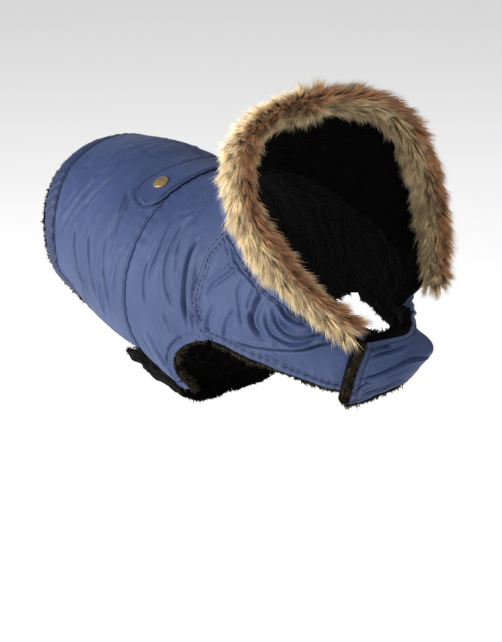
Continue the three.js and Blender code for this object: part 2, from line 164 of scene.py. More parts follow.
def ramp(add, fac, *stops):
    """A colour ramp with stops given as (place, (r, g, b))."""
    node = add("ShaderNodeValToRGB", Fac=fac)
    elements = node.color_ramp.elements
    while len(elements) < len(stops):
        elements.new(0.5)
    for element, (place, colour) in zip(elements, stops):
        element.position, element.color = place, (*colour, 1)
    return node.outputs["Color"]


def bumps(add, *layers):
    """Bumps laid one on another, each given as (height socket, strength, depth in metres)."""
    normal = None
    for height, strength, depth in layers:
        node = add("ShaderNodeBump", Height=height, Strength=strength, Distance=depth)
        if normal is not None:
            node.id_data.links.new(normal, node.inputs["Normal"])
        normal = node.outputs["Normal"]
    return normal


# %% [markdown]
# ## Woven cloth
# The outer cloth is a dense matte weave with a faint sheen. Two wave patterns, one each way along the
# cloth's own coordinates in metres, make the threads. Slow noise shifts the blue a little, as dye and
# handling do, and fine creases lie over the large folds that the meshes themselves have.


# %% Cloth finish
THREADS = 450               # wave scale of the weave


def woven(name, deep, light):
    """A finish for cloth, from its deep blue to its light blue."""
    material, shader, add, link = new_material(name, 0.52, sheen=0.12)
    uv = add("ShaderNodeUVMap", {"uv_map": "cloth"}).outputs["UV"]
    where = add("ShaderNodeTexCoord").outputs["Object"]
    thread = {"wave_type": "BANDS", "wave_profile": "SIN"}
    warp, weft = [add("ShaderNodeTexWave", {**thread, "bands_direction": way}, Vector=uv,
                      Scale=THREADS, Distortion=0.6).outputs["Fac"] for way in "XY"]
    weave = add("ShaderNodeMath", {"operation": "MULTIPLY"}, i0=warp, i1=weft).outputs[0]
    slow = speckle(add, where, 22, 3)
    fleck = speckle(add, where, 900, 2, 0.6)
    crinkle = speckle(add, uv, 120, 5, 0.62, Distortion=0.5)
    mixed = add("ShaderNodeMath", {"operation": "MULTIPLY_ADD"}, i0=fleck, i1=0.35, i2=slow).outputs[0]
    link(ramp(add, mixed, (0.42, deep), (0.92, light)), shader.inputs["Base Color"])
    link(bumps(add, (crinkle, 0.35, 0.0016), (weave, 0.30, 0.0003)), shader.inputs["Normal"])
    shader.inputs["Sheen Tint"].default_value = (0.55, 0.66, 1.0, 1)
    shader.inputs["Specular IOR Level"].default_value = 0.3
    return material


BLUE_CLOTH = woven("blue_cloth", (0.0225, 0.038, 0.105), (0.033, 0.055, 0.140))
# The casing uses the same weave in a darker blue.
DARK_CLOTH = woven("blue_cloth_dark", (0.013, 0.022, 0.066), (0.020, 0.033, 0.090))
print("cloth finishes:", BLUE_CLOTH.name, DARK_CLOTH.name)

# %% [markdown]
# ## Curly pile
# The lining is short curled pile, nearly black, with a brown cast where light comes through its edge.
# Rounded cells give the curls, and a finer noise breaks them up. The tufts that stand at the edges
# are real geometry, added later.


# %% Pile finish
def pile(name, deep, tip):
    """A finish for curly pile, from the colour of its depths to that of its tips."""
    material, shader, add, link = new_material(name, 0.95, sheen=0.01)
    where = add("ShaderNodeTexCoord").outputs["Object"]
    curls = add("ShaderNodeTexVoronoi", {"feature": "SMOOTH_F1"}, Vector=where, Scale=330).outputs["Distance"]
    fuzz = speckle(add, where, 1100, 4, 0.7)
    broad = speckle(add, where, 70, 2)
    mixed = add("ShaderNodeMath", {"operation": "MULTIPLY"}, i0=fuzz, i1=broad).outputs[0]
    link(ramp(add, mixed, (0.15, deep), (0.42, tip)), shader.inputs["Base Color"])
    link(bumps(add, (curls, 0.9, 0.003), (fuzz, 0.5, 0.001)), shader.inputs["Normal"])
    shader.inputs["Specular IOR Level"].default_value = 0.06
    return material


BLACK_PILE = pile("black_pile", (0.0008, 0.0006, 0.0006), (0.0040, 0.0031, 0.0028))
BROWN_PILE = pile("brown_pile", (0.0070, 0.0052, 0.0036), (0.080, 0.060, 0.038))
print("pile finishes:", BLACK_PILE.name, BROWN_PILE.name)

# %% [markdown]
# ## The wearer's form
# The coat takes its shape from the body it is on. Each row of the table is one section of that body:
# the top and bottom points on the middle plane, the half width, and how far down it is widest. A smooth
# curve through the rows gives a section anywhere, and an angle round it gives a point. Angle 0 is the
# spine, 180 the belly, and positive angles are the dog's right side. Lengths here are millimetres.

# %% Form table and smooth curves
FORM = np.array([
    # s, top X, top Z, bottom X, bottom Z, half width, widest, narrow
    [0.0, -165, -19, -165, -150, 90, 0.50, 0.00],
    [0.2, -150, -7, -150, -166, 93.5, 0.50, 0.00],
    [1.0, -75, 11, -75, -200, 102, 0.50, 0.00],
    [2.0, 10, 6, 5, -227, 109, 0.50, 0.00],
    [3.0, 52, 8, 80, -238, 108, 0.50, 0.00],
    [4.0, 74, 13, 160, -224, 103, 0.50, 0.00],
    [5.0, 88, 18, 225, -194, 98, 0.51, 0.02],
    [6.0, 98, 23, 278, -160, 94, 0.52, 0.08],
    [7.0, 107, 28, 306, -120, 89, 0.53, 0.20],
    [7.8, 112, 31, 306, -84, 84, 0.54, 0.34],
])


def through(rows, x):
    """Smooth curve through table rows, read at x of the first column."""
    rows, x = np.asarray(rows, float), np.asarray(x, float)
    keys, values = rows[:, 0], rows[:, 1:]
    gap = np.diff(keys)[:, None]
    slope = np.diff(values, axis=0) / gap
    inner = (slope[:-1] * gap[1:] + slope[1:] * gap[:-1]) / (gap[:-1] + gap[1:])
    tangent = np.vstack([slope[:1], inner, slope[-1:]])
    i = np.clip(np.searchsorted(keys, x) - 1, 0, len(keys) - 2)
    t = np.clip((x - keys[i]) / gap[i, 0], 0, 1)[..., None]
    return ((2 * t**3 - 3 * t**2 + 1) * values[i] + (t**3 - 2 * t**2 + t) * gap[i] * tangent[i]
            + (3 * t**2 - 2 * t**3) * values[i + 1] + (t**3 - t**2) * gap[i] * tangent[i + 1])


def unit(v):
    """Vectors at length 1."""
    return v / np.maximum(np.linalg.norm(v, axis=-1, keepdims=True), 1e-9)


def soft(t):
    """0 below 0, 1 above 1, and a smooth rise between."""
    t = np.clip(t, 0, 1)
    return t * t * (3 - 2 * t)


def form(s, angle):
    """Points of the smooth body: s counts the sections, angle goes round them."""
    f, a = through(FORM, s), np.radians(angle)
    c, widest = np.cos(a), f[..., 5]
    down = np.where(c > 0, widest * (1 - c), widest + (1 - widest) * -c)
    y = -f[..., 4] * np.sin(a) * (1 - f[..., 6] * np.maximum(0, -c))
    return np.stack([f[..., 0] * (1 - down) + f[..., 2] * down, y,
                     f[..., 1] * (1 - down) + f[..., 3] * down], -1)


HILLS = [
    # height, s, angle, reach in s, reach in angle
    (17, 7.34, -163, 0.24, 10), (7.5, 7.05, -166, 0.34, 20), (-18, 7.4, -129, 0.5, 20),
]


def corner(s, angle):
    """The flap's corner stands off the chest, and the left neck edge draws in behind it."""
    a = np.where(angle > 0, angle - 360, angle)
    return sum(height * np.exp(-((s - s0) / ws) ** 2 - ((a - a0) / wa) ** 2)
               for height, s0, a0, ws, wa in HILLS)


def surface(s, angle):
    """Points of the coat's outside and the ways that they face."""
    s, angle = np.asarray(s, float), np.asarray(angle, float)
    across = form(s, angle + 0.25) - form(s, angle - 0.25)
    along = form(s + 0.004, angle) - form(s - 0.004, angle)
    n = unit(np.cross(across, along))
    return form(s, angle) + n * corner(s, angle)[..., None], n


print("waist point:", surface(2.4, 80)[0].round(1))

# %% [markdown]
# ## Cut edges
# A panel is bounded by four edges. Each edge is one or more short tables of [s, angle], read by its
# length on the form, so equal steps along it are equal steps on the cloth. Panels that meet use the
# same tables, which is how sewn pieces come to match.

# %% Edge tables
REAR_EDGE = [
    # s, angle, width of the casing
    [0.28, 0, 19], [0.28, 12, 19], [0.28, 25, 19], [0.325, 44, 19], [0.40, 62, 19], [0.48, 78, 18.5],
    [0.54, 94, 17.5], [0.60, 106, 15], [0.72, 111, 11], [0.89, 112.4, 7], [1.12, 113.0, 2.5],
]
SIDE_HEM = [[1.35, 114.6], [1.65, 113], [2.0, 112.4], [2.30, 111.2], [2.60, 110.5]]
TAB_HEM = [[2.60, 110.5], [2.77, 114], [3.00, 119], [3.16, 124], [3.27, 128.5]]
TAB_END = [[3.27, 128.5], [3.40, 127.5]]
WAIST = [[2.82, 0], [2.80, 8], [2.73, 16], [2.64, 25], [2.55, 34], [2.46, 45], [2.43, 56], [2.39, 68],
         [2.39, 80], [2.42, 91], [2.50, 102], [2.60, 110.5]]
BACK_NECK = [[6.70, 0], [6.70, 20], [6.70, 40], [6.72, 57]]
SHOULDER = [[6.72, 57], [5.95, 60], [5.42, 63.5], [4.98, 71], [4.66, 77.5], [4.53, 83.5], [4.52, 90],
            [4.58, 99.5]]
NOTCH_REAR = [[4.58, 99.5], [4.16, 99.5], [3.78, 102], [3.52, 106.5], [3.38, 112.5], [3.34, 119],
              [3.40, 127.5]]
NECK_SIDE = [[6.72, 57], [7.04, 70], [7.17, 83], [7.22, 95], [7.28, 108], [7.42, 122], [7.58, 136],
             [7.68, 148]]
NECK_FRONT = [[7.68, 148], [7.62, 160], [7.62, 172]]
CHEST_SIDE = [[4.58, 99.5], [4.86, 103], [5.06, 107], [5.28, 111.5], [5.51, 116.5], [5.75, 124],
              [5.95, 133], [6.13, 147]]
CHEST_FRONT = [[6.13, 147], [6.30, 159], [6.68, 172]]
FLAP_NECK = [[7.68, -148], [7.72, -160], [7.77, -171], [7.79, -182], [7.745, -192], [7.66, -201],
             [7.52, -210.9]]
FLAP_HEM = [[6.13, -147], [6.30, -155], [6.52, -165], [6.70, -175], [6.72, -183], [6.60, -189.4],
            [6.37, -195.4], [6.18, -199.6], [6.05, -203]]
FLAP_EDGE = [[6.05, -203], [6.30, -206.5], [6.60, -209.8], [7.00, -212.2], [7.52, -210.9]]


# %% Edges as functions
def path(table, count):
    """Points of a table, closely spaced along its smooth curve."""
    rows = np.column_stack([np.arange(len(table)), table])
    return through(rows, np.linspace(0, len(table) - 1, count))


def edge(*parts):
    """Tables end to end, each with its share of the whole, as a function of 0 to 1."""
    stops = np.cumsum([0] + [share for _, share in parts]) / sum(share for _, share in parts)
    lines = []
    for table, _ in parts:
        line = path(table, 241)
        steps = np.linalg.norm(np.diff(surface(line[:, 0], line[:, 1])[0], axis=0), axis=1)
        run = np.concatenate([[0], np.cumsum(steps)])
        lines.append((run / run[-1], line))

    def at(v):
        v = np.asarray(v, float)
        found = np.empty(v.shape + (lines[0][1].shape[1],))
        part = np.clip(np.searchsorted(stops, v, side="right") - 1, 0, len(lines) - 1)
        for k, (run, line) in enumerate(lines):
            here = part == k
            local = (v[here] - stops[k]) / (stops[k + 1] - stops[k])
            for c in range(found.shape[-1]):
                found[here, c] = np.interp(local, run, line[:, c])
        return found

    return at


def other(at):
    """The same edge on the other side of the coat."""
    return lambda v: at(v) * [1, -1]


def flip(at):
    """The same edge from its end to its start."""
    return lambda v: at(1 - np.asarray(v, float))


def whole(half):
    """From the left end over the spine to the right end."""
    return lambda v: half(np.abs(2 * v - 1)) * np.stack([np.ones_like(v), np.sign(2 * v - 1)], -1)


def fill(low, high, start, end, u, v):
    """A grid of [s, angle] between four edges; low and high run along v."""
    a, b, c, d = low(v)[None], high(v)[None], start(u)[:, None], end(u)[:, None]
    u, v = u[:, None, None], v[None, :, None]
    flat = (1 - u) * ((1 - v) * a[:, :1] + v * a[:, -1:]) + u * ((1 - v) * b[:, :1] + v * b[:, -1:])
    return (1 - u) * a + u * b + (1 - v) * c + v * d - flat


def spaced(length, pitch, lead=(0.6, 1.4, 2.4)):
    """Fractions of a length, evenly pitched, with finer steps at both ends."""
    lead = np.array([0.0, *lead])
    middle = np.linspace(lead[-1], length - lead[-1], max(2, round((length - 2 * lead[-1]) / pitch) + 1))
    return np.concatenate([lead[:-1], middle, length - lead[:-1][::-1]]) / length


waist, rear = edge((WAIST, 1)), edge((REAR_EDGE, 1))
print("rear edge at the flank:", rear(np.array([0.5]))[0].round(2))

# %% Seam between casing and skirt
def beside(s, a, ds, da, mm):
    """Points beside a line that steps by ds and da: mm to one side of it, measured on the cloth."""
    per_s = np.linalg.norm(form(s + 0.01, a) - form(s, a), axis=-1) * 100
    per_a = np.linalg.norm(form(s, a + 0.5) - form(s, a - 0.5), axis=-1)
    ds, da = ds * per_s, da * per_a
    length = np.maximum(np.hypot(ds, da), 1e-9)
    return np.stack([s + mm * da / length / per_s, a - mm * ds / length / per_a], -1)


def casing_top(v):
    """The seam between casing and skirt, square to the rear edge by the casing's own width."""
    here, step = rear(v), 0.01
    change = rear(np.minimum(v + step, 1)) - rear(np.maximum(v - step, 0))
    ds = np.where(v < 1e-6, 0, change[..., 0])
    return beside(here[..., 0], here[..., 1], ds, change[..., 1], here[..., 2])


def casing_seam(count):
    """Evenly counted points of that seam."""
    return casing_top(np.linspace(0, 1, count))


print("casing seam at the flank:", casing_seam(3)[1].round(2))

# %% [markdown]
# ## Folds
# Worn cloth is never smooth. Each fold is a stroke laid along a few [s, angle] points, with a
# depth, a width and a lean that raises one of its two shoulders. A negative depth makes a ridge. The
# right side's folds are listed, and the left side gets its own uneven versions of them. Seams are
# strokes as well: a narrow groove, with puckers where the thread pulls the cloth in.

# %% Folds of the right side
RIGHT_FOLDS = [
    # depth, width, lean, points
    (3.2, 4.5, 0.3, [[1.76, 51], [1.74, 46], [1.71, 42], [1.65, 38]]),
    (-1.7, 5.0, 0.0, [[1.87, 76], [1.86, 68], [1.85, 62], [1.79, 52], [1.8, 44], [1.83, 38]]),
    (2.4, 4.5, -0.4, [[0.72, 40], [0.79, 32], [0.87, 26], [0.95, 20]]),
    (2.4, 4.5, 0.5, [[1.02, 42], [1.17, 33], [1.20, 27.6], [1.21, 20]]),
    (1.6, 6.5, 0.2, [[1.12, 62], [1.22, 47.4], [1.28, 39.7], [1.35, 30]]),
    (1.4, 8.0, 0.0, [[0.76, 82], [0.95, 60.4], [1.06, 45.1], [1.1, 36]]),
    (2.2, 5.5, 0.4, [[1.10, 66], [1.11, 72], [1.16, 83], [1.28, 94], [1.45, 101]]),
    (2.5, 5.5, -0.3, [[1.38, 64], [1.4, 70], [1.45, 79], [1.55, 90], [1.67, 101]]),
    (2.0, 6.0, 0.2, [[1.75, 57], [1.74, 68], [1.8, 79], [1.92, 89], [2.02, 100]]),
    (1.7, 4.5, 0.0, [[1.74, 86], [1.74, 97], [1.82, 106]]),
    (1.3, 7.0, 0.3, [[0.62, 66], [0.6, 82], [0.7, 98]]),
    (1.5, 6.0, 0.0, [[2.15, 62], [2.1, 76], [2.14, 90]]),
    (2.0, 6.0, 0.4, [[3.6, 32], [3.29, 43.7], [3.22, 53.8], [3.16, 62.6], [3.04, 73]]),
    (2.2, 7.5, 0.5, [[5.4, 37], [4.4, 40.4], [3.8, 49], [3.56, 60], [3.55, 70], [3.7, 79], [3.9, 90]]),
    (6.0, 5.6, 0.5, [[5.1, 53], [4.63, 57.4], [4.36, 65.2], [4.22, 74.4], [4.13, 83], [4.1, 95]]),
    (-1.6, 7.0, 0.0, [[4.8, 64], [4.5, 75], [4.40, 84], [4.42, 93]]),
    (1.6, 6.5, -0.3, [[4.95, 41], [4.19, 45.8], [3.96, 53.6], [3.93, 64], [3.9, 76]]),
    (1.8, 5.5, 0.0, [[2.95, 62], [2.92, 75], [3.04, 87]]),
    (2.0, 5.0, 0.4, [[5.5, 31.9], [4.73, 36], [3.94, 39], [3.27, 41]]),
    (1.6, 5.5, 0.0, [[3.45, 86], [3.63, 97]]),
    (1.5, 7.0, 0.0, [[2.95, 96], [3.1, 106], [3.2, 118]]),
    (1.6, 6.0, 0.3, [[6.2, 12], [5.0, 18], [4.0, 22], [3.2, 20]]),
    (1.4, 8.0, 0.0, [[1.9, 5], [1.5, 12], [1.1, 10]]),
    (2.2, 7.0, 0.5, [[6.87, 74], [5.99, 75.3], [5.34, 77], [4.9, 83]]),
    (1.6, 7.0, 0.3, [[6.88, 80], [6.28, 83], [5.93, 91], [5.65, 100]]),
    (1.8, 6.0, 0.4, [[7.1, 87], [6.49, 89.5], [6.2, 94], [6.05, 101]]),
    (6.0, 6.0, 0.5, [[7.12, 91], [6.62, 92.5], [6.2, 95.5], [6.02, 100.5], [6.1, 107]]),
    (3.6, 4.5, -0.3, [[6.86, 96], [6.46, 101], [6.32, 107], [6.46, 114], [6.77, 120], [7.2, 126.5]]),
    (4.2, 4.5, -0.3, [[7.05, 98], [6.7, 104], [6.64, 111], [6.86, 118], [7.3, 126], [7.5, 132]]),
    (3.8, 4.5, 0.0, [[7.2, 101], [7.06, 107], [7.14, 113], [7.3, 118]]),
    (5.5, 5.5, -0.9, [[5.0, 100], [5.55, 107], [6.06, 113.5], [6.53, 120.6], [7.0, 127.5], [7.45, 139]]),
    (1.2, 6.0, 0.0, [[5.7, 110], [5.97, 121], [6.25, 133]]),
    (2.4, 4.2, -0.5, [[6.85, 52], [6.71, 63], [6.65, 69], [6.71, 75.5], [6.90, 83], [6.98, 89], [6.86, 95]]),
    (-2.4, 11.0, 0.0, [[7.02, 58], [6.92, 66], [6.96, 74], [7.06, 82]]),
    (1.8, 5.5, 0.3, [[4.26, 97], [4.3, 89], [4.48, 81]]),
    (1.8, 5.5, 0.3, [[4.62, 98], [4.81, 90], [5.24, 84]]),
    (1.8, 5.5, 0.3, [[4.98, 101], [5.31, 93.5], [5.87, 89]]),
]
FLAP_FOLDS = [
    (4.6, 4.0, 0.5, [[6.71, -210.5], [6.95, -201.3], [7.15, -191.1], [7.28, -178.7], [7.20, -163]]),
    (3.0, 3.6, 0.3, [[6.36, -207], [6.62, -205.3], [6.82, -203.2]]),
    (2.6, 3.6, 0.4, [[7.22, -209.6], [7.36, -202.1], [7.45, -194.6], [7.53, -185.4], [7.59, -176]]),
    (2.0, 3.4, 0.2, [[7.39, -209.2], [7.49, -201.8], [7.59, -193.3]]),
    (1.8, 4.4, 0.4, [[6.38, -203], [6.61, -196.5], [6.82, -188.7], [6.99, -182.2]]),
]


# %% Strokes
def stroke(depth, width, lean, table, pucker=0.0, pitch=9.0, reach=10.0, taper=0.22, points=None):
    """A fold or seam as closely spaced points in space, with its own cross-section."""
    if points is None:
        line = path(table, 6 * len(table) + 8)
        points = surface(line[:, 0], line[:, 1])[0]
    run = np.concatenate([[0], np.cumsum(np.linalg.norm(np.diff(points, axis=0), axis=1))])
    return {"at": points, "run": run, "depth": depth, "width": width, "lean": lean, "pucker": pucker,
            "pitch": pitch, "reach": reach, "taper": taper}


def raise_by(p, n, k):
    """Height that one stroke gives to points p of a surface that faces n."""
    height = np.zeros(len(p))
    far = 3.6 * max(k["width"], k["reach"] * 0.8 if k["pucker"] else 0)
    near = np.all((p > k["at"].min(0) - far) & (p < k["at"].max(0) + far), axis=1)
    if not near.any():
        return height
    q, m = p[near], n[near]
    a, d = k["at"][:-1], np.diff(k["at"], axis=0)
    square = np.maximum((d ** 2).sum(1), 1e-9)
    t = np.clip(((q[:, None] - a[None]) * d[None]).sum(-1) / square[None], 0, 1)
    gap = q[:, None] - (a[None] + t[..., None] * d[None])
    distance = np.linalg.norm(gap, axis=-1)
    pick = distance.argmin(1)
    rows = np.arange(len(q))
    side = np.sign((np.cross(d[pick], m) * gap[rows, pick]).sum(-1))
    x = distance[rows, pick] * side
    along = k["run"][pick] + t[rows, pick] * np.diff(k["run"])[pick]
    f = along / k["run"][-1]
    fade = soft(f / k["taper"]) * soft((1 - f) / k["taper"]) if k["taper"] else 1.0
    # Across the stroke: a trough, wider on the side that it leans to, and a shoulder on each side.
    w = k["width"]
    wide = w * (1 + 0.45 * k["lean"] * np.sign(x))
    trough = np.exp(-np.abs(x / wide) ** 1.35)
    shoulders = 0.42 * ((1 + k["lean"]) * np.exp(-((x - 1.9 * w) / w) ** 2)
                        + (1 - k["lean"]) * np.exp(-((x + 1.9 * w) / w) ** 2))
    out = k["depth"] * fade * (shoulders - trough)
    if k["pucker"]:
        # Uneven waves along the seam, which die away on both sides of it.
        wave = np.sin(2 * math.pi * along / k["pitch"]
                      + 1.7 * np.sin(along / (2.3 * k["pitch"])) + 0.9 * np.sin(along / 5.1))
        out = out + k["pucker"] * fade * np.exp(-(x / k["reach"]) ** 2) * wave
    height[near] = out
    return height


RANDOM = np.random.RandomState(11).uniform(-1, 1, 65536)
MIX = (73856093, 19349663, 83492791)            # large primes that mix a cell's three numbers


def noise(p, size, seed):
    """Smooth noise from -1 to 1 over cells of the given size."""
    q = p / size + seed * 13.37
    i = np.floor(q).astype(np.int64)
    f = q - i
    f = f * f * (3 - 2 * f)
    total = 0
    for step in itertools.product((0, 1), repeat=3):
        x, y, z = [(i[:, c] + step[c]) * MIX[c] for c in range(3)]
        wx, wy, wz = [np.where(step[c], f[:, c], 1 - f[:, c]) for c in range(3)]
        total = total + RANDOM[((x ^ y ^ z) + seed * 7919) & 65535] * (wx * wy * wz)
    return total


# %% Seam and fold strokes of each side
# Distance in millimetres of each stitched row from its seam or edge; the sign tells the side.
WAIST_ROW, SHOULDER_ROWS, NOTCH_ROW, CHEST_ROW = -4.2, (-4.4, 4.4), -8.6, 8.2
CASING_ROW, NECK_ROW, FLAP_NECK_ROW, FLAP_HEM_ROW, FLAP_EDGE_ROW = 1.8, -3.6, -4.5, 4.5, -5.5


def parallel(table, mm, count=60):
    """[s, angle] points that run beside a table's line, mm to one side of it on the cloth."""
    s, a = path(table, count)[:, :2].T
    return beside(s, a, np.gradient(s), np.gradient(a), mm)


def mirrored(table):
    """A table of the other side, as a list of [s, angle]."""
    return (np.asarray(table, float)[:, :2] * [1, -1]).tolist()


def seam_strokes(sign):
    """Seams of one side; sign is +1 on the right and -1 on the left."""
    def on(table):
        return np.asarray(table, float)[:, :2] * [1, sign]

    return [
        # depth, width, lean, line
        stroke(1.2, 0.9, 0.6 * sign, on(WAIST), pucker=0.45, pitch=11, reach=11, taper=0.02),
        stroke(0.45, 1.3, 0.2, on(SHOULDER), pucker=0.75, pitch=5.6, reach=5.5, taper=0.02),
        stroke(0.8, 0.9, 0.0, on(parallel(WAIST, WAIST_ROW)), taper=0.02),
        *[stroke(0.9, 0.9, 0.0, on(parallel(SHOULDER, mm)), taper=0.02) for mm in SHOULDER_ROWS],
        stroke(0.8, 1.3, -0.4 * sign, on(BACK_NECK + NECK_SIDE[1:]), pucker=0.5, pitch=13, reach=9,
               taper=0.02),
        stroke(1.5, 1.5, 0.0, on(casing_seam(60)[12:]), taper=0.15),
        stroke(1.9, 1.3, 0.0, on(parallel(NOTCH_REAR, NOTCH_ROW)), pucker=0.6, pitch=7, reach=5,
               taper=0.05),
        stroke(1.7, 1.3, 0.0, on(parallel(CHEST_SIDE + CHEST_FRONT[1:2], CHEST_ROW)), pucker=0.5,
               pitch=8, reach=6, taper=0.05),
    ]


def fold(depth, width, lean, table):
    """A fold sharper and deeper than its listed size, as cloth pulled tight makes it."""
    deeper = min(1.3 * abs(depth), 0.45 * abs(depth) + 1.9)
    return stroke(math.copysign(deeper, depth), 0.2 + 0.31 * width, lean, table)


def left_folds():
    """The right side's folds again, each moved, turned and deepened a little differently."""
    change = np.random.RandomState(5)
    folds = []
    for depth, width, lean, table in RIGHT_FOLDS:
        table = mirrored(table) + np.column_stack([np.linspace(*change.uniform(-0.10, 0.10, 2), len(table)),
                                         np.linspace(*change.uniform(-4, 4, 2), len(table))])
        # The flap lies flat where the right chest is folded deepest.
        calm = 0.3 if table[:, 0].max() > 6.4 and table[:, 1].min() < -104 else 1.0
        depth = calm * depth * change.uniform(0.6, 1.1)
        folds.append(fold(depth, width * change.uniform(0.9, 1.2), -lean, table))
    return folds


def creases(folds, sign, seed):
    """Thin sharp lines that leave each fold at a slant, one or two to a fold."""
    draw, lines = np.random.RandomState(seed), []
    for depth, width, lean, table in folds:
        for side in draw.choice([-1, 1], draw.randint(1, 3), replace=False):
            line = parallel(table, side * width * np.linspace(*draw.uniform(0.2, 2.6, 2), 24), 24)
            line = line[int(draw.uniform(0, 8)):int(draw.uniform(15, 24))]
            if table[0][1] > 0:
                line = line * [1, sign]
            looks = [draw.uniform(0.5, 0.95), draw.uniform(1.3, 2.0), draw.uniform(-0.8, 0.8)]
            lines.append(stroke(*looks, line, taper=0.35))
    return lines


SEAMS = seam_strokes(1) + seam_strokes(-1)
RIGHT = [fold(*row) for row in RIGHT_FOLDS] + creases(RIGHT_FOLDS, 1, 8)
LEFT = left_folds() + [fold(*row) for row in FLAP_FOLDS] + creases(RIGHT_FOLDS + FLAP_FOLDS, -1, 9)
# Two narrow grooves mark the turned border of the flap, along its free edge and its hem.
LEFT.append(stroke(1.5, 1.3, 0.5, parallel(FLAP_EDGE, FLAP_EDGE_ROW), taper=0.05))
LEFT.append(stroke(0.9, 1.3, 0.0, mirrored(parallel(mirrored(FLAP_HEM), FLAP_HEM_ROW)), taper=0.05))
print("strokes:", len(SEAMS), "seams,", len(RIGHT), "right folds,", len(LEFT), "left folds")


def relief(p, n, strokes, crinkle=1.0):
    """Height of the worn cloth over the smooth form, at a grid of points."""
    flat, facing = p.reshape(-1, 3), n.reshape(-1, 3)
    height = np.zeros(len(flat))
    for k in strokes:
        height += raise_by(flat, facing, k)
    crease = (1 - np.abs(noise(flat, np.array([11.0, 30.0, 34.0]), 6))) ** 5
    where = 0.5 + 0.5 * noise(flat, 38.0, 7)
    # Slow waves, short wrinkles, fine grain, and sharp creases here and there.
    height += crinkle * (0.60 * noise(flat, np.array([15.0, 34.0, 40.0]), 3)
                         + 0.34 * noise(flat, np.array([6.0, 15.0, 18.0]), 4)
                         + 0.12 * noise(flat, 4.0, 5) + 1.0 * where * (crease - 0.3))
    return height.reshape(p.shape[:-1])


# %% [markdown]
# ## From grid to cloth
# A panel is a grid of points on the form. Its outer and inner faces are the grid moved along the
# facing, and a strip of quads closes the rim, so the result is a thin closed shell. The cloth
# coordinates are true lengths along the grid, in metres, so a weave keeps its scale on every piece.


# %% Mesh builders
def linked(name, data):
    """A new object in the scene."""
    piece = bpy.data.objects.new(name, data)
    bpy.context.scene.collection.objects.link(piece)
    return piece


def new_object(name, points, faces, finish):
    """A mesh object from points in millimetres."""
    mesh = bpy.data.meshes.new(name)
    mesh.from_pydata((np.asarray(points) * MM).tolist(), [], [list(f) for f in faces])
    mesh.materials.append(finish)
    mesh.polygons.foreach_set("use_smooth", [True] * len(mesh.polygons))
    mesh.update()
    return linked(name, mesh)


def face_outwards(piece):
    """Turn every face of a closed mesh outwards."""
    mesh = bmesh.new()
    mesh.from_mesh(piece.data)
    bmesh.ops.recalc_face_normals(mesh, faces=mesh.faces)
    mesh.to_mesh(piece.data)
    mesh.free()


def give(piece, name, kind, values):
    """Store a value, or a vector, at every point of a piece."""
    layer = piece.data.attributes.new(name, kind, "POINT")
    layer.data.foreach_set("vector" if kind == "FLOAT_VECTOR" else "value", np.asarray(values, float).ravel())


def grid_quads(index):
    """The quads of a grid of point numbers."""
    return np.stack([index[:-1, :-1], index[:-1, 1:], index[1:, 1:], index[1:, :-1]], -1).reshape(-1, 4)


def inside_out(points, quads):
    """Whether the faces of a shell look inwards."""
    q = points[quads]
    return (q[:, 0] * np.cross(q[:, 1] - q[:, 0], q[:, 2] - q[:, 0])).sum() < 0


def lengths(p):
    """Running lengths of a grid in millimetres, along its rows and down its columns."""
    across = np.pad(np.cumsum(np.linalg.norm(np.diff(p, axis=1), axis=2), axis=1), ((0, 0), (1, 0)))
    down = np.pad(np.cumsum(np.linalg.norm(np.diff(p, axis=0), axis=2), axis=0), ((1, 0), (0, 0)))
    return across, down


def cloth_coordinates(p):
    """Lengths along the grid in metres, across from the middle column and down from the first row."""
    across, down = lengths(p)
    across -= across[:, p.shape[1] // 2][:, None]
    return np.stack([across, down], -1) * MM


def rim_distance(p):
    """How far each grid point is from each of the four edges, in millimetres: low, high, start, end."""
    across, down = lengths(p)
    return np.stack([down, down[-1:] - down, across, across[:, -1:] - across])


def slab(name, p, n, outer, inner, finish):
    """A closed shell between two offsets of a grid."""
    faces = [(p + n * np.broadcast_to(x, p.shape[:2])[..., None]).reshape(-1, 3) for x in (outer, inner)]
    points, total = np.vstack(faces), len(faces[0])
    index = np.arange(total).reshape(p.shape[:2])
    upper = grid_quads(index)
    ring = np.concatenate([index[0, :-1], index[:-1, -1], index[-1, :0:-1], index[:0:-1, 0]])
    after = np.roll(ring, -1)
    sides = np.column_stack([after, ring, ring + total, after + total])
    quads = np.vstack([upper, upper[:, ::-1] + total, sides])
    if inside_out(points, quads):
        quads = quads[:, ::-1]
    piece = new_object(name, points, quads, finish)
    uv = np.vstack([cloth_coordinates(p).reshape(-1, 2)] * 2)
    corners = np.empty(len(piece.data.loops), dtype=np.int32)
    piece.data.loops.foreach_get("vertex_index", corners)
    piece.data.uv_layers.new(name="cloth").data.foreach_set("uv", uv[corners].ravel())
    return piece


def cut_size(p):
    """Width, length and area of a panel's flat cut, in metres, from its unfolded grid."""
    across = np.linalg.norm(np.diff(p, axis=1), axis=2).sum(1)
    down = np.linalg.norm(np.diff(p, axis=0), axis=2).sum(0)
    area = np.linalg.norm(np.cross(p[1:, 1:] - p[:-1, :-1], p[1:, :-1] - p[:-1, 1:]), axis=2).sum() / 2
    return across.max() * MM, down.max() * MM, area * MM * MM


CLOTH = 1.3                     # thickness of the outer cloth
SEAM_GAP = 0.32                 # each side of a seam, where the dark line of a seam comes from
PILE_OUT, PILE_IN = -1.5, -6.0  # heights of the pile's two faces


def own(piece, node, p=None):
    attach(piece, "root")
    if node:
        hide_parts(node)
    if p is not None:
        width, length, area = cut_size(p)
        length = max(length, 1.002 * area / width)
        print(piece.name, "cut", (round(width, 3), round(length, 3), round(area, 4)), "faces",
              len(piece.data.polygons))
    return piece


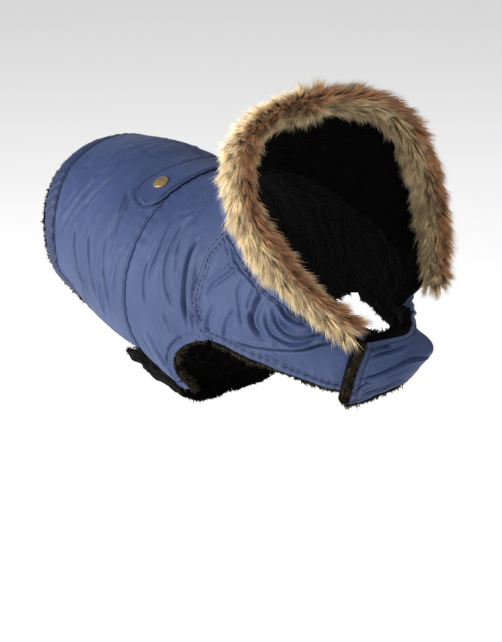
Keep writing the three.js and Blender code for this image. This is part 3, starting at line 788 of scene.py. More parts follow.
# %% Outer cloth with its lining
def per_edge(values, shape):
    """Four values, or rows of values, one for each edge of a grid, as arrays of its shape."""
    out = []
    for k, value in enumerate(values):
        value = np.asarray(value, float)
        value = value[None, :] if value.ndim and k < 2 else (value[:, None] if value.ndim else value)
        out.append(np.broadcast_to(value, shape))
    return np.stack(out)


def rolled(p, radius=1.1, share=(1, 1, 1, 1)):
    """How much the outer face drops at the rim, so that an edge looks turned."""
    r = radius * per_edge(share, p.shape[:2])
    return (r * (1 - np.sqrt(1 - np.clip(1 - rim_distance(p) / (1.6 * r), 0, 1) ** 2))).max(0)


def panel_grid(sa, strokes, crinkle, lift, reach, fall):
    """A panel's points, facings and heights, its rim moved out by reach, which fades over fall."""
    p, n = surface(sa[..., 0], sa[..., 1])
    raised = n * np.broadcast_to(lift, p.shape[:2])[..., None]
    p = p + raised
    down, across = unit(np.gradient(p, axis=0)), unit(np.gradient(p, axis=1))
    edges = zip(rim_distance(p), (-down, down, -across, across), per_edge(reach, p.shape[:2]))
    for d, way, out in edges:
        p = p + way * (out * np.exp(-d / fall))[..., None]
    return p, n, relief(p - raised, n, strokes, crinkle)


def outer_cloth(name, sa, strokes, finish=BLUE_CLOTH, lift=0.0, extra=0.0, share=(1, 1, 1, 1)):
    """The outer cloth of a panel given as a grid of [s, angle]. A smaller share closes an edge's seam."""
    gaps = [-SEAM_GAP * np.asarray(k) for k in share]
    p, n, height = panel_grid(sa, strokes, 1.0, lift, gaps, 1.2)
    height = height + extra
    return slab(name, p, n, height - rolled(p, 1.1, share), height - CLOTH - 0.15, finish), p


def lowest(height):
    """The lowest height among each grid point and its neighbours, so that pile stays behind its cloth."""
    rows, columns = height.shape
    wide = np.pad(height, 1, mode="edge")
    return np.min([wide[i:i + rows, j:j + columns] for i in range(3) for j in range(3)], axis=0)


def curls(p, seed):
    """The lumps of curly pile on its inner face."""
    flat = p.reshape(-1, 3)
    return (0.9 * noise(flat, 5.0, seed) + 0.5 * noise(flat, 2.6, seed + 1)).reshape(p.shape[:-1])


def pile_layer(name, sa, strokes, free, lift=0.0):
    """The pile behind a panel. free gives how far it stands past the low, high, start and end edges."""
    p, n, height = panel_grid(sa, strokes, 0.8, lift, free, 4.0)
    height = lowest(height)
    drop = 1.6 * np.exp(-rim_distance(p).min(0) / 1.3)
    inner = 0.6 * height + PILE_IN + curls(p, 21) + drop
    return slab(name, p, n, height + PILE_OUT - 0.4 * drop, inner, BLACK_PILE), p, n


# %% Belt outline, which also presses into the cloth under it
HALF_BELT = [
    # angle, s at the rear edge, s at the front edge
    [0, 1.90, 2.76], [8, 1.885, 2.735], [16, 1.84, 2.66], [24, 1.78, 2.58], [30, 1.75, 2.52],
    [34, 1.76, 2.47], [37, 1.80, 2.38], [39, 1.88, 2.28], [40.2, 2.02, 2.15],
]
half = path(HALF_BELT, 60)
ends = np.vstack([half[:0:-1] * [-1, 1, 1], half])
outline = np.vstack([ends[:, [1, 0]], ends[::-1, [2, 0]], ends[:1, [1, 0]]])
outline = outline + 0.012 * unit(outline - [2.3, 0]) * [1, 25]
BELT_MARK = stroke(2.3, 1.6, 0.0, None, points=surface(outline[:, 0], outline[:, 1])[0], taper=0)


# %% [markdown]
# ## Skirt, casing and their lining
# The skirt covers rump and flanks. Along its rear edge runs a narrow casing with elastic, which
# gathers the cloth into short slanting puckers at the flanks. The black pile behind both shows as a
# fringe past the rear edge.

# %% Skirt
SEAM_LENGTH, SKIRT_DEPTH, CASING_DEPTH = 400.0, 170.0, 19.0
PUFF, PUCKER, PUCKER_PITCH, PUCKER_SLANT = 2.4, 2.8, 10.0, 15.0


def rear_line(v):
    """The rear edge without its column of widths."""
    return rear(v)[..., :2]


def casing_height(u, v):
    """Height of the casing, u across it and v along it: a soft tube, gathered at the flanks."""
    along = SEAM_LENGTH * np.abs(v - 0.5)
    tube = PUFF * np.sin(math.pi * (0.08 + 0.84 * u)) * soft((12.6 - 24 * np.abs(v - 0.5)) / 2.5)
    flank = (0.35 + 0.65 * soft((along - 30) / 50)) * soft((176 - along) / 30)
    phase = (along + PUCKER_SLANT * u + 2.6 * np.sin(along / 13.0)) / PUCKER_PITCH
    gathers = np.abs(np.sin(math.pi * phase)) - 0.7
    return tube + PUCKER * flank * gathers * soft(0.25 + u) * soft((1.06 - u) / 0.12)


BODY = SEAMS + RIGHT + LEFT + [BELT_MARK]
rear_end, casing_end = rear_line(np.array([1.0]))[0], casing_top(np.array([1.0]))[0]
side_hem = edge(([casing_end.tolist()] + SIDE_HEM, 1))
strip_end = edge(([rear_end.tolist(), casing_end.tolist()], 1))
v_skirt = spaced(SEAM_LENGTH, 2.2)
skirt_sa = fill(whole(casing_top), whole(waist), other(side_hem), side_hem, spaced(SKIRT_DEPTH, 1.7), v_skirt)
casing_sa = fill(whole(rear_line), whole(casing_top), other(strip_end), strip_end,
                 spaced(CASING_DEPTH, 1.3, (0.6, 1.4)), v_skirt)
# The seam between casing and skirt is nearly closed at the tail and opens towards the flanks.
casing_share = 0.1 + 0.5 * soft((24 * np.abs(v_skirt - 0.5) - 2.5) / 3)
skirt_cloth, skirt_p = outer_cloth("skirt_cloth", skirt_sa, BODY, share=(casing_share, 0.7, 1, 1))
casing_u = np.linspace(0, 1, len(casing_sa))[:, None]
casing_cloth, casing_p = outer_cloth("casing_cloth", casing_sa, BODY, DARK_CLOTH,
                                     extra=casing_height(casing_u, v_skirt[None]),
                                     share=(1, casing_share, 1, 1))

both_sa = np.vstack([casing_sa[::2], skirt_sa[1::2]])[:, ::2]
skirt_pile, pile_p, pile_n = pile_layer("skirt_pile", both_sa, BODY, (4.5, 0.0, 2.5, 2.5))
own(skirt_pile, "skirt_lining", pile_p)
own(skirt_cloth, "skirt_shell", skirt_p)
own(casing_cloth, "hem_casing", casing_p)

# %% [markdown]
# ## Body
# A saddle between the waist seam and the shoulder seams. Its lower corners run down into a pointed
# tab behind each foreleg, which is where the belly band is sewn on. The strongest folds of the coat
# fall here, where the cloth hangs between two seams.

# %% Body
NECK_PART, SHOULDER_PART, NOTCH_PART = 4, 6, 5      # shares of the front edge, from the spine outwards
WAIST_PART, HEM_PART = 12, 3                        # shares of the rear edge
NOTCH_START = NECK_PART + SHOULDER_PART
body_rear = edge((WAIST, WAIST_PART), (TAB_HEM, HEM_PART))
body_front = edge((BACK_NECK, NECK_PART), (SHOULDER, SHOULDER_PART), (NOTCH_REAR, NOTCH_PART))
tab_end = edge((TAB_END, 1))
v_body = spaced(500, 2.6)
body_sa = fill(whole(body_rear), whole(body_front), other(tab_end), tab_end, spaced(110, 1.5), v_body)
from_spine = 2 * (NOTCH_START + NOTCH_PART) * (v_body - 0.5)
part = np.abs(from_spine)
body_share = np.where(part > NOTCH_START + 0.2, 1.0, np.where(part < NECK_PART + 0.2, 0.4, 0.2))
body_cloth, body_p = outer_cloth("body_cloth", body_sa, BODY, share=(0.7, body_share, 1, 1))
hem_reach = np.where(part > WAIST_PART + 0.2, 3.0, 0.0)
front_reach = np.where(part > NOTCH_START + 0.2, 7.0, np.where(part < NECK_PART + 0.6, 3.5, 0.0))
body_pile, body_pile_p, body_pile_n = pile_layer("body_pile", body_sa[::2, ::2], BODY,
                                                 (hem_reach[::2], front_reach[::2], 3, 3))
own(body_pile, "body_lining", body_pile_p)
own(body_cloth, "body_shell", body_p)

# %% [markdown]
# ## Fronts and closing flap
# Each front runs from its shoulder seam along neck and chest. The right one ends under the chest as a
# strap. The left one goes on over that strap as the closing flap, lifted by the layers it lies on, and
# its free edge shows a roll of brown-black pile.

# %% Fronts
LIFT = 7.8          # how far the flap stands off over the strap


def lift_at(angle):
    """How far the left front is lifted: not at all on the flank, fully on the strap."""
    return LIFT * (1 - soft((angle + 184) / 26))


def chest_reach(angle):
    """How far the pile shows past the chest edge: most in the armhole, least under the chest."""
    return np.interp(angle, [60, 88, 100, 150, 156], [7.0, 7.0, 3.6, 3.4, 6.0])


shoulder = edge((SHOULDER, 1))
neck_part, chest_part = (NECK_SIDE, 9), (CHEST_SIDE, 9)
u_front = spaced(150, 1.4)
right_sa = fill(edge(chest_part, (CHEST_FRONT, 3)), edge(neck_part, (NECK_FRONT, 3)), flip(shoulder),
                edge(([CHEST_FRONT[2], NECK_FRONT[2]], 1)), u_front, spaced(250, 1.7))
left_low, left_high = [edge(part, (mirrored(table), 8))
                       for part, table in ((chest_part, FLAP_HEM), (neck_part, FLAP_NECK))]
left_sa = fill(other(left_low), other(left_high), other(flip(shoulder)), edge((FLAP_EDGE, 1)), u_front,
               spaced(330, 1.85))
front_share = (1, 0.4, 0.2, 1)
front_right_cloth, right_p = outer_cloth("front_right_cloth", right_sa, SEAMS + RIGHT, share=front_share)
front_left_cloth, left_p = outer_cloth("front_left_cloth", left_sa, SEAMS + LEFT,
                                       lift=lift_at(left_sa[..., 1]), share=front_share)
right_half, left_half = right_sa[::2, ::2], left_sa[::2, ::2]
right_a, left_a = right_half[-1, :, 1], -left_half[-1, :, 1]
right_reach = (chest_reach(right_a), np.where(right_a > 144, 5.0, 3.5), 0.0, 0)
left_reach = (np.where(left_a > 145, 7.5, chest_reach(left_a)), np.where(left_a > 140, 6.5, 3.5), 0.0, 0)
front_right_pile, right_pile_p, right_pile_n = pile_layer("front_right_pile", right_half, SEAMS + RIGHT,
                                                          right_reach)
front_left_pile, left_pile_p, left_pile_n = pile_layer("front_left_pile", left_half, SEAMS + LEFT,
                                                       left_reach, lift_at(left_half[..., 1]))
own(front_right_pile, "front_right_lining", right_pile_p)
own(front_left_pile, "front_left_lining", left_pile_p)
own(front_right_cloth, "front_right_shell", right_p)
own(front_left_cloth, "front_left_shell", left_p)

# %% Roll of pile on the flap's free edge
free_edge = edge((FLAP_EDGE, 1))(spaced(110, 2.0))
s, a = free_edge[:, :1], free_edge[:, 1:]
per_a = np.linalg.norm(form(s, a - 1) - form(s, a), axis=-1)
out_by = np.array([[0.0, 1.5, 3.0, 4.5, 6.0, 7.4, 8.6, 9.3]])
roll_s, roll_a = np.broadcast_arrays(s, a - out_by / per_a)
roll_p, roll_n = surface(roll_s, roll_a)
roll_p = roll_p + roll_n * LIFT
crown = np.interp(out_by, [0, 2, 5, 8, 9.3], [-0.8, 0.9, 1.3, 0.0, -2.4])
curl = 0.7 * noise(roll_p.reshape(-1, 3), 3.2, 31).reshape(roll_s.shape)
flap_roll = slab("flap_roll", roll_p, roll_n, crown + curl - 0.9, PILE_IN, BLACK_PILE)
own(flap_roll, "flap_edge_roll", roll_p)

# %% [markdown]
# ## Belly band
# A band of pile passes under the belly. It is tucked inside the right tab and sewn inside the left
# one, and it has pile on both faces.

# %% Belly band
BELLY = [
    # s at the rear edge, angle there, s at the front edge, angle there
    [2.60, 106, 2.98, 111], [2.48, 112.5, 3.05, 116.5], [2.25, 119, 3.08, 122], [1.98, 125.5, 3.07, 128],
    [1.82, 132, 3.03, 134], [1.79, 142, 2.94, 143], [1.80, 152, 2.88, 152], [1.73, 165, 2.85, 165],
    [1.54, 180, 2.85, 180],
    [1.47, 195, 2.85, 195], [1.46, 210, 2.88, 210], [1.49, 224, 2.94, 224], [1.56, 238, 2.96, 238],
    [1.68, 250, 2.90, 249], [1.80, 258, 2.80, 258],
]
band = path(BELLY, 190)
u = spaced(88, 2.3)[:, None, None]
belly_sa = band[None, :, :2] * (1 - u) + band[None, :, 2:] * u


def tuck(s, a):
    """The band lies inside the tabs at its ends and hangs a little under the belly."""
    nearest = np.where(a < 180, a, 360 - a)
    tab_line = 111 + 17 * soft((s - 2.4) / 0.9)
    inside, outside, sag = -7.8, -0.8, 13
    tucked = inside + (outside - inside) * soft((nearest - tab_line - 3) / 10)
    return tucked - sag * soft((nearest - 146) / 34)


belly_p, belly_n = surface(belly_sa[..., 0], belly_sa[..., 1])
hang = tuck(belly_sa[..., 0], belly_sa[..., 1])
flat = belly_p.reshape(-1, 3)
lump = (2.3 * noise(flat, 9.0, 41) + 1.2 * noise(flat, 4.2, 42)).reshape(hang.shape)
thin = 1.6 * np.exp(-rim_distance(belly_p).min(0) / 1.6)
belly_band = slab("belly_band", belly_p, belly_n, hang + lump - 0.5 - thin, hang - 4.3 + lump + thin,
                  BLACK_PILE)
own(belly_band, "belly_flap", belly_p)

# %% [markdown]
# ## Half belt
# A short belt of doubled cloth with round ends lies across the back. It follows the waist folds
# beneath it and has its own stitched border.

# %% Half belt
u = spaced(40, 1.6)[:, None]
belt_s, belt_a = np.broadcast_arrays(ends[None, :, 1] * (1 - u) + ends[None, :, 2] * u, ends[None, :, 0])
belt_p, belt_n = surface(belt_s, belt_a)
d = rim_distance(belt_p).min(0)
under = relief(belt_p, belt_n, BODY, 0.5) * 0.35
border = -0.85 * np.exp(-((d - 3.4) / 0.8) ** 2)    # the groove of its stitched border
soft_top = 0.30 * noise(belt_p.reshape(-1, 3), np.array([14.0, 9.0, 9.0]), 51).reshape(d.shape)
half_belt = slab("half_belt_cloth", belt_p, belt_n, 2.9 + under + border + soft_top - rolled(belt_p, 0.9),
                 0.7 + under, BLUE_CLOTH)
own(half_belt, "half_belt", belt_p)

# %% [markdown]
# ## Hood
# The hood stands up from the neck seam and runs into the back of the fur band. Its grid goes from the
# seam to the middle line of the band, with a soft belly between them. The middle line is a short
# table, mirrored about the spine.

# %% Line of the fur band
RING = [
    # angle, X, Y, Z
    [0, 172, 0, 99], [22, 176, -46, 95], [45, 187, -84, 84], [65, 201, -102, 63], [82, 214, -109, 36],
    [98, 231, -107, 9], [115, 251, -94, -21], [132, 273, -75, -48], [148, 296, -53, -72],
]
RING_ENDS = (-139, 148)
RING_AXIS = unit(np.array([0.84, 0, 0.54]))
ACROSS, THICK, END_ACROSS, END_THICK = 20.0, 10.0, 14.0, 8.5


def ring_point(angle):
    """Points of the band's middle line."""
    both = np.vstack([np.array(RING[:0:-1]) * [-1, 1, -1, 1], RING])
    return through(both, angle)


def ring_frame(angle):
    """Middle, run, opening way, outward way and the half sizes of the band at an angle."""
    angle = np.asarray(angle, float)
    run = unit(ring_point(angle + 0.5) - ring_point(angle - 0.5))
    axis = unit(RING_AXIS - run * (run @ RING_AXIS)[..., None])
    taper = soft((np.abs(angle) - 105) / 43)
    return (ring_point(angle), run, axis, np.cross(run, axis), ACROSS + (END_ACROSS - ACROSS) * taper,
            THICK + (END_THICK - THICK) * taper)


# %% Hood panels
hood_foot = edge((BACK_NECK, 4), (NECK_SIDE, 9))
HOOD_FOLDS = [
    # depth, width, lean, points as [up, angle]
    (2.2, 7.0, 0.3, [[0.05, 30], [0.4, 24], [0.8, 28]]),
    (2.4, 7.0, -0.3, [[0.02, 62], [0.45, 66], [0.9, 60]]),
    (2.0, 6.0, 0.4, [[0.05, 84], [0.4, 92], [0.8, 88]]),
    (1.8, 6.0, 0.0, [[0.05, 104], [0.5, 112], [0.9, 108]]),
    (1.6, 8.0, 0.0, [[0.35, 12], [0.5, 45], [0.42, 76]]),
]


def hood_point(u, s, angle):
    """Points of the hood: u runs from the neck seam at [s, angle] up to the band."""
    c, _, axis, out, across, _ = ring_frame(angle)
    foot = surface(s, angle)[0]
    top = c - axis * (0.5 * across)[..., None] + out * 3.4
    puff = 9 * np.sin(math.pi * u) * soft((136 - np.abs(angle)) / 60)
    a = np.radians(angle)
    way = unit(np.stack(np.broadcast_arrays(-0.5, -np.sin(a), 0.25 * np.cos(a)), -1))
    return foot + (top - foot) * u[..., None] + way * puff[..., None]


def hood_grid(sign, rows=44, columns=100):
    """One side of the hood as a grid of points and facings."""
    fine = np.linspace(0, 1, 400)
    limit = abs(RING_ENDS[1 if sign > 0 else 0]) - 4
    stop = np.interp(limit, hood_foot(fine)[:, 1], fine)
    foot = hood_foot(spaced(330, 330 / columns) * stop)
    u, s, a = np.broadcast_arrays(spaced(95, 95 / rows)[:, None], foot[None, :, 0], foot[None, :, 1])
    p = hood_point(u, s, sign * a)
    along, up = np.gradient(p, axis=1), np.gradient(p, axis=0)
    along[:, 0, 0] = along[:, 0, 2] = 0
    return p, unit(np.cross(along, up)) * sign


foot_line = hood_foot(np.linspace(0, 1, 200))
for side, sign, depth_share, turn in (("right", 1, 1, 0), ("left", -1, 0.8, 3)):
    p, n = hood_grid(sign)
    folds = []
    for depth, width, lean, rows in HOOD_FOLDS:
        up, angle = path(rows, 30).T
        s = np.interp(np.abs(angle), foot_line[:, 1], foot_line[:, 0])
        points = hood_point(up, s, sign * (angle + turn))
        folds.append(stroke(depth * depth_share, width, lean * sign, None, points=points))
    height = relief(p, n, SEAMS + folds, 0.9)
    cloth_piece = slab("hood_%s_cloth" % side, p, n, height - rolled(p, 1.1, (0.4, 1, 0.6, 1)),
                       height - CLOTH - 0.15, BLUE_CLOTH)
    q, m = p[::2, ::2].copy(), n[::2, ::2]
    q[0] = q[0] + unit(q[1] - q[2]) * 4.0 - m[0] * 0.5
    inner = relief(q, m, SEAMS + folds, 0.7)
    pile_piece = slab("hood_%s_pile" % side, q, m, inner + PILE_OUT,
                      0.6 * inner + PILE_IN + curls(q, 61), BLACK_PILE)
    own(pile_piece, "hood_%s_lining" % side, q)
    own(cloth_piece, "hood_%s_shell" % side, p)

# %% [markdown]
# ## Fur and pile tufts
# Long fur, curly fringe and stitching repeat a small shape many times, so Geometry Nodes lays them
# out. One tree scatters locks over a base mesh. It reads an attribute named "comb" from the base,
# the way that the hair lies there, and turns each lock to it, with a little random turn and size.
# Four lock shapes are drawn below; the tree picks among them with a fixed seed.


# %% Lock shapes
def lock_shape(name, hairs, length, spread, thick, seed, bend=1.5, steps=2, sides=3):
    """A tuft of tapered hairs that starts round the origin and points along Z. Lengths are millimetres."""
    draw = np.random.RandomState(seed)
    points, faces, along = [], [], []
    for _ in range(hairs):
        root = draw.normal(0, spread, 2)
        lean = root * draw.uniform(0.2, 0.8) + draw.normal(0, bend, 2)
        tall = length * draw.uniform(0.68, 1.0)
        first = len(points)
        for k in range(steps + 1):
            t = k / steps
            centre = [root[0] + lean[0] * t * t, root[1] + lean[1] * t * t, tall * t - 1.0 * (1 - t)]
            if k == steps:
                points.append(centre)
                along.append(1.0)
                break
            r = thick * (1 - t ** 1.6) + 0.05
            for j in range(sides):
                a = 2 * math.pi * j / sides
                points.append([centre[0] + r * math.cos(a), centre[1] + r * math.sin(a), centre[2]])
                along.append(t)
        for k in range(steps - 1):
            for j in range(sides):
                a, b = first + k * sides + j, first + k * sides + (j + 1) % sides
                faces.append((a, b, b + sides, a + sides))
        last = first + (steps - 1) * sides
        for j in range(sides):
            faces.append((last + j, last + (j + 1) % sides, len(points) - 1))
        faces.append(tuple(first + j for j in reversed(range(sides))))
    piece = new_object(name, points, faces, BLACK_PILE)
    give(piece, "along", "FLOAT", along)
    return piece


def shape_set(name, shapes):
    """A collection that the scatter tree can pick from, kept out of the scene."""
    group = bpy.data.collections.new(name)
    for piece in shapes:
        bpy.context.scene.collection.objects.unlink(piece)
        group.objects.link(piece)
    return group


def lock_set(name, seed, **looks):
    """Four locks of one kind."""
    return shape_set(name + "s", [lock_shape("%s_%d" % (name, k), seed=seed + k, **looks) for k in range(4)])


FUR_LOCKS = lock_set("fur_lock", 70, hairs=9, length=22, spread=1.0, thick=0.38)
PILE_TUFTS = lock_set("pile_tuft", 80, hairs=5, length=4.6, spread=0.75, thick=0.75)

# %% Scatter tree
# How a tree reads its set of shapes.
APART = {"Separate Children": True, "Reset Children": True}


def new_tree(name, sockets):
    """A Geometry Nodes tree to fill: the tree, its input sockets, its way to add nodes, and its way out."""
    tree = bpy.data.node_groups.new(name, "GeometryNodeTree")
    for label, kind in {"Geometry": "Geometry", **sockets}.items():
        tree.interface.new_socket(label, in_out="INPUT", socket_type="NodeSocket" + kind)
    tree.interface.new_socket("Geometry", in_out="OUTPUT", socket_type="NodeSocketGeometry")
    start, finish = tree.nodes.new("NodeGroupInput"), tree.nodes.new("NodeGroupOutput")
    return tree, start.outputs, adder(tree), finish.inputs[0]


def scatter_tree():
    """Geometry Nodes that scatter locks over a mesh, combed along its "comb" attribute."""
    sockets = {"Locks": "Collection", "Density": "Float", "Smallest": "Float", "Largest": "Float",
               "Stray": "Float", "Seed": "Int", "Finish": "Material"}
    tree, inputs, add, way_out = new_tree("scatter_locks", sockets)
    seed = inputs["Seed"]

    def chance(number, low, high, kind="FLOAT", seed=seed):
        """A random value per lock; number is that of its first socket."""
        ends = {"i%d" % number: low, "i%d" % (number + 1): high}
        return add("FunctionNodeRandomValue", {"data_type": kind}, Seed=seed, **ends).outputs[number // 2]

    spots = add("GeometryNodeDistributePointsOnFaces", {"distribute_method": "RANDOM"},
                Mesh=inputs["Geometry"], Density=inputs["Density"], Seed=seed)
    comb = add("GeometryNodeInputNamedAttribute", {"data_type": "FLOAT_VECTOR"}, Name="comb")
    stray = chance(0, (-1, -1, -1), (1, 1, 1), "FLOAT_VECTOR")
    stray = add("ShaderNodeVectorMath", {"operation": "SCALE"}, i0=stray, Scale=inputs["Stray"])
    way = add("ShaderNodeVectorMath", {"operation": "ADD"}, i0=comb.outputs["Attribute"], i1=stray.outputs[0])
    turned = add("FunctionNodeAlignRotationToVector", {"axis": "Z"}, Vector=way.outputs[0])
    spin = add("FunctionNodeAxisAngleToRotation", Axis=(0, 0, 1), Angle=chance(2, 0.0, 6.283))
    rotation = add("FunctionNodeRotateRotation", {"rotation_space": "LOCAL"}, Rotation=turned.outputs[0],
                   **{"Rotate By": spin.outputs[0]})
    size_seed = add("ShaderNodeMath", {"operation": "ADD"}, i0=seed, i1=9.0).outputs[0]
    size = chance(2, inputs["Smallest"], inputs["Largest"], seed=size_seed)
    shapes = add("GeometryNodeCollectionInfo", Collection=inputs["Locks"], **APART)
    placed = add("GeometryNodeInstanceOnPoints", Points=spots.outputs["Points"], Instance=shapes.outputs[0],
                 Rotation=rotation.outputs[0], Scale=size, **{"Pick Instance": True})
    toned = add("GeometryNodeStoreNamedAttribute", {"data_type": "FLOAT", "domain": "INSTANCE"},
                Geometry=placed.outputs[0], Name="tone", Value=chance(2, 0.0, 1.0))
    real = add("GeometryNodeRealizeInstances", Geometry=toned.outputs[0])
    done = add("GeometryNodeSetMaterial", Geometry=real.outputs[0], Material=inputs["Finish"])
    tree.links.new(done.outputs[0], way_out)
    return tree


def run_tree(tree, base, name, values):
    """Run a tree on a base mesh, keep the result as a plain mesh object, and remove the base."""
    modifier = base.modifiers.new("grow", "NODES")
    modifier.node_group = tree
    for item in tree.interface.items_tree:
        if item.in_out == "INPUT" and item.name in values:
            modifier[item.identifier] = values[item.name]
    seen = base.evaluated_get(bpy.context.evaluated_depsgraph_get())
    mesh = bpy.data.meshes.new_from_object(seen)
    mesh.name = name
    piece = linked(name, mesh)
    bpy.data.objects.remove(base)
    for attribute in [a.name for a in mesh.attributes if a.name in ("comb", "rotation")]:
        mesh.attributes.remove(mesh.attributes[attribute])
    mesh.polygons.foreach_set("use_smooth", [True] * len(mesh.polygons))
    print(name, "triangles", sum(len(p.vertices) - 2 for p in mesh.polygons))
    return piece


def combed(name, points, quads, comb):
    """A base mesh for the scatter tree, with the way that the hair lies at each point."""
    base = new_object(name, points.reshape(-1, 3), quads, BLACK_PILE)
    give(base, "comb", "FLOAT_VECTOR", comb)
    return base


SCATTER = scatter_tree()

# %% [markdown]
# ## Fur finish
# The fur is golden brown with pale tips and dark roots. Each lock has its own tone, and broad noise
# gives the patches that are paler or darker. On the side of the band that faces the opening it is
# multiplied darker and reddish brown: partly the fur's own reddish tone, partly painted shade of the opening.


# %% Fur colours
def fur_finish():
    """The fur's colour from each lock's own values and from noise in space."""
    material, shader, add, link = new_material("long_fur", 0.55, sheen=0.25)
    along, tone, red = [add("ShaderNodeAttribute", {"attribute_name": name}).outputs["Fac"]
                        for name in ("along", "tone", "red")]
    where = add("ShaderNodeTexCoord").outputs["Object"]
    patch = speckle(add, where, 46, 3, 0.6)
    golden = ramp(add, along, (0.0, (0.42, 0.260, 0.110)), (0.25, (0.74, 0.520, 0.250)),
                  (0.65, (0.96, 0.760, 0.430)), (1.0, (1.0, 0.90, 0.66)))
    dusky = ramp(add, along, (0.0, (0.14, 0.085, 0.042)), (0.35, (0.30, 0.200, 0.105)),
                 (0.75, (0.52, 0.380, 0.215)), (1.0, (0.90, 0.74, 0.48)))
    mixed = add("ShaderNodeMath", {"operation": "MULTIPLY_ADD"}, i0=tone, i1=0.55, i2=patch).outputs[0]
    share = ramp(add, mixed, (0.60, (0, 0, 0)), (0.92, (1, 1, 1)))
    colour = add("ShaderNodeMix", {"data_type": "RGBA"}, i0=share, i6=golden, i7=dusky).outputs[2]
    # Painted shade with reddish tone: the side facing the opening is multiplied darker and redder.
    red_shade_amount = add("ShaderNodeMath", {"operation": "MULTIPLY"}, i0=red, i1=0.9).outputs[0]
    colour = add("ShaderNodeMix", {"data_type": "RGBA", "blend_type": "MULTIPLY"}, i0=red_shade_amount, i6=colour,
                 i7=(0.62, 0.34, 0.25, 1)).outputs[2]
    link(colour, shader.inputs["Base Color"])
    link(bumps(add, (speckle(add, where, 900, 2), 0.25, 0.0004)), shader.inputs["Normal"])
    shader.inputs["Specular IOR Level"].default_value = 0.25
    shader.inputs["Sheen Tint"].default_value = (1.0, 0.86, 0.62, 1)
    return material


LONG_FUR = fur_finish()

# %% [markdown]
# ## Fur band
# The band is a bent tube with a squarish section, thinner towards its two lower ends. The tube here is
# the backing that the hair grows from, so it is slimmer than the band's outline, and the locks fill
# the space up to it. Hair lies along the band from the crown down to the throat, and away from the
# opening.

# %% Backing tube and comb
FUR_BASE = 0.62         # size of the backing beside the band's outline
AROUND = 28             # points round the tube


def fur_tube(start, stop, rings):
    """The backing between two angles: points, comb and share of reddish tone with painted shade, each as
    rings of AROUND points.
    """
    angle = np.linspace(start, stop, rings)
    c, run, axis, out, across, thick = [x[:, None] for x in ring_frame(angle)]
    turn = np.linspace(0, 2 * math.pi, AROUND, endpoint=False)
    x, y = [(np.sign(t) * np.abs(t) ** 0.8)[None, :, None] for t in (np.cos(turn), np.sin(turn))]
    across, thick = across[..., None], thick[..., None]
    wave = 1 + 0.06 * np.sin(angle / 7.0)[:, None, None]
    p = c + (axis * (across * FUR_BASE) * x + out * (thick * FUR_BASE) * y) * wave
    facing = unit(axis * x / across + out * y / thick)
    down = run * np.clip(angle / 12, -1, 1)[:, None, None]
    inward = 0.62 * soft((x + 0.1) / 0.9) - 0.34
    comb = 0.86 * down + inward * axis + 0.36 * facing + 0.06 * out
    drift = np.column_stack([noise(p.reshape(-1, 3), 13.0, 90 + k) for k in range(3)]).reshape(p.shape)
    # Share of painted shade with reddish tone, on the side of the band that faces the opening.
    red = np.broadcast_to(soft((x - 0.62) / 0.38), (rings, AROUND, 1))
    return p, unit(comb + 0.30 * drift), red


def tube_quads(rings):
    """The quads round a tube, ring by ring."""
    index = np.arange(rings * AROUND).reshape(rings, AROUND)
    return grid_quads(np.column_stack([index, index[:, :1]]))


def fur_backing(rings=150):
    """The closed tube under the fur, with a small cone on each end."""
    p, quads = fur_tube(*RING_ENDS, rings)[0].reshape(-1, 3), tube_quads(rings)
    if inside_out(p, quads):
        quads = quads[:, ::-1]
    c, run = ring_frame(RING_ENDS)[:2]
    faces, total = quads.tolist(), len(p)
    for tip, first in ((total, 0), (total + 1, total - AROUND)):
        ring = np.arange(first, first + AROUND)
        faces += [(a, b, tip) for a, b in zip(ring, np.roll(ring, -1))]
    points = np.vstack([p, c[0] - run[0] * 3, c[1] + run[1] * 3])
    piece = new_object("fur_backing", points, faces, LONG_FUR)
    face_outwards(piece)
    for name, value in (("along", 0.12), ("tone", 0.7), ("red", 0.3)):
        give(piece, name, "FLOAT", [value] * len(points))
    return piece


fur_base = fur_backing()
own(fur_base, "fur_trim")
PART_RINGS, CROWN = 60, 62      # rings in each part of the fur; the angle where its top parts end
for side, start, stop, seed in (("right_low", CROWN, RING_ENDS[1], 1), ("right_top", 0, CROWN, 2),
                                ("left_top", -CROWN, 0, 3), ("left_low", RING_ENDS[0], -CROWN, 4)):
    p, comb, red = fur_tube(start, stop, PART_RINGS)
    base = combed("fur_comb", p, tube_quads(PART_RINGS), comb)
    give(base, "red", "FLOAT", red)
    locks = run_tree(SCATTER, base, "fur_" + side,
                     {"Locks": FUR_LOCKS, "Density": 107000.0, "Smallest": 0.60, "Largest": 1.05,
                      "Stray": 0.15, "Seed": seed, "Finish": LONG_FUR})
    own(locks, None)

# %% [markdown]
# ## Fringe of the pile
# Where the cloth stops, the pile shows as a row of curled tufts. Each fringe grows from a narrow strip
# that runs beside a cut edge, just inside it, and is combed outwards over the edge.


# %% Fringe strips
LINING, EDGE = (BLACK_PILE, "pile_lining"), (BROWN_PILE, "pile_edge")
THICK_FRINGE = 420000.0         # tufts in a square metre of the fuller fringes


def rim(grid, row=None, column=None, keep=slice(None)):
    """One edge of a grid (points, facings): its points, its facings and the way out of the grid."""
    p, n = grid
    if row is not None:
        way = unit(np.gradient(p, axis=0))[row] * (-1 if row == 0 else 1)
        return p[row][keep], n[row][keep], way[keep]
    way = unit(np.gradient(p, axis=1))[:, column] * (-1 if column == 0 else 1)
    return p[:, column], n[:, column], way


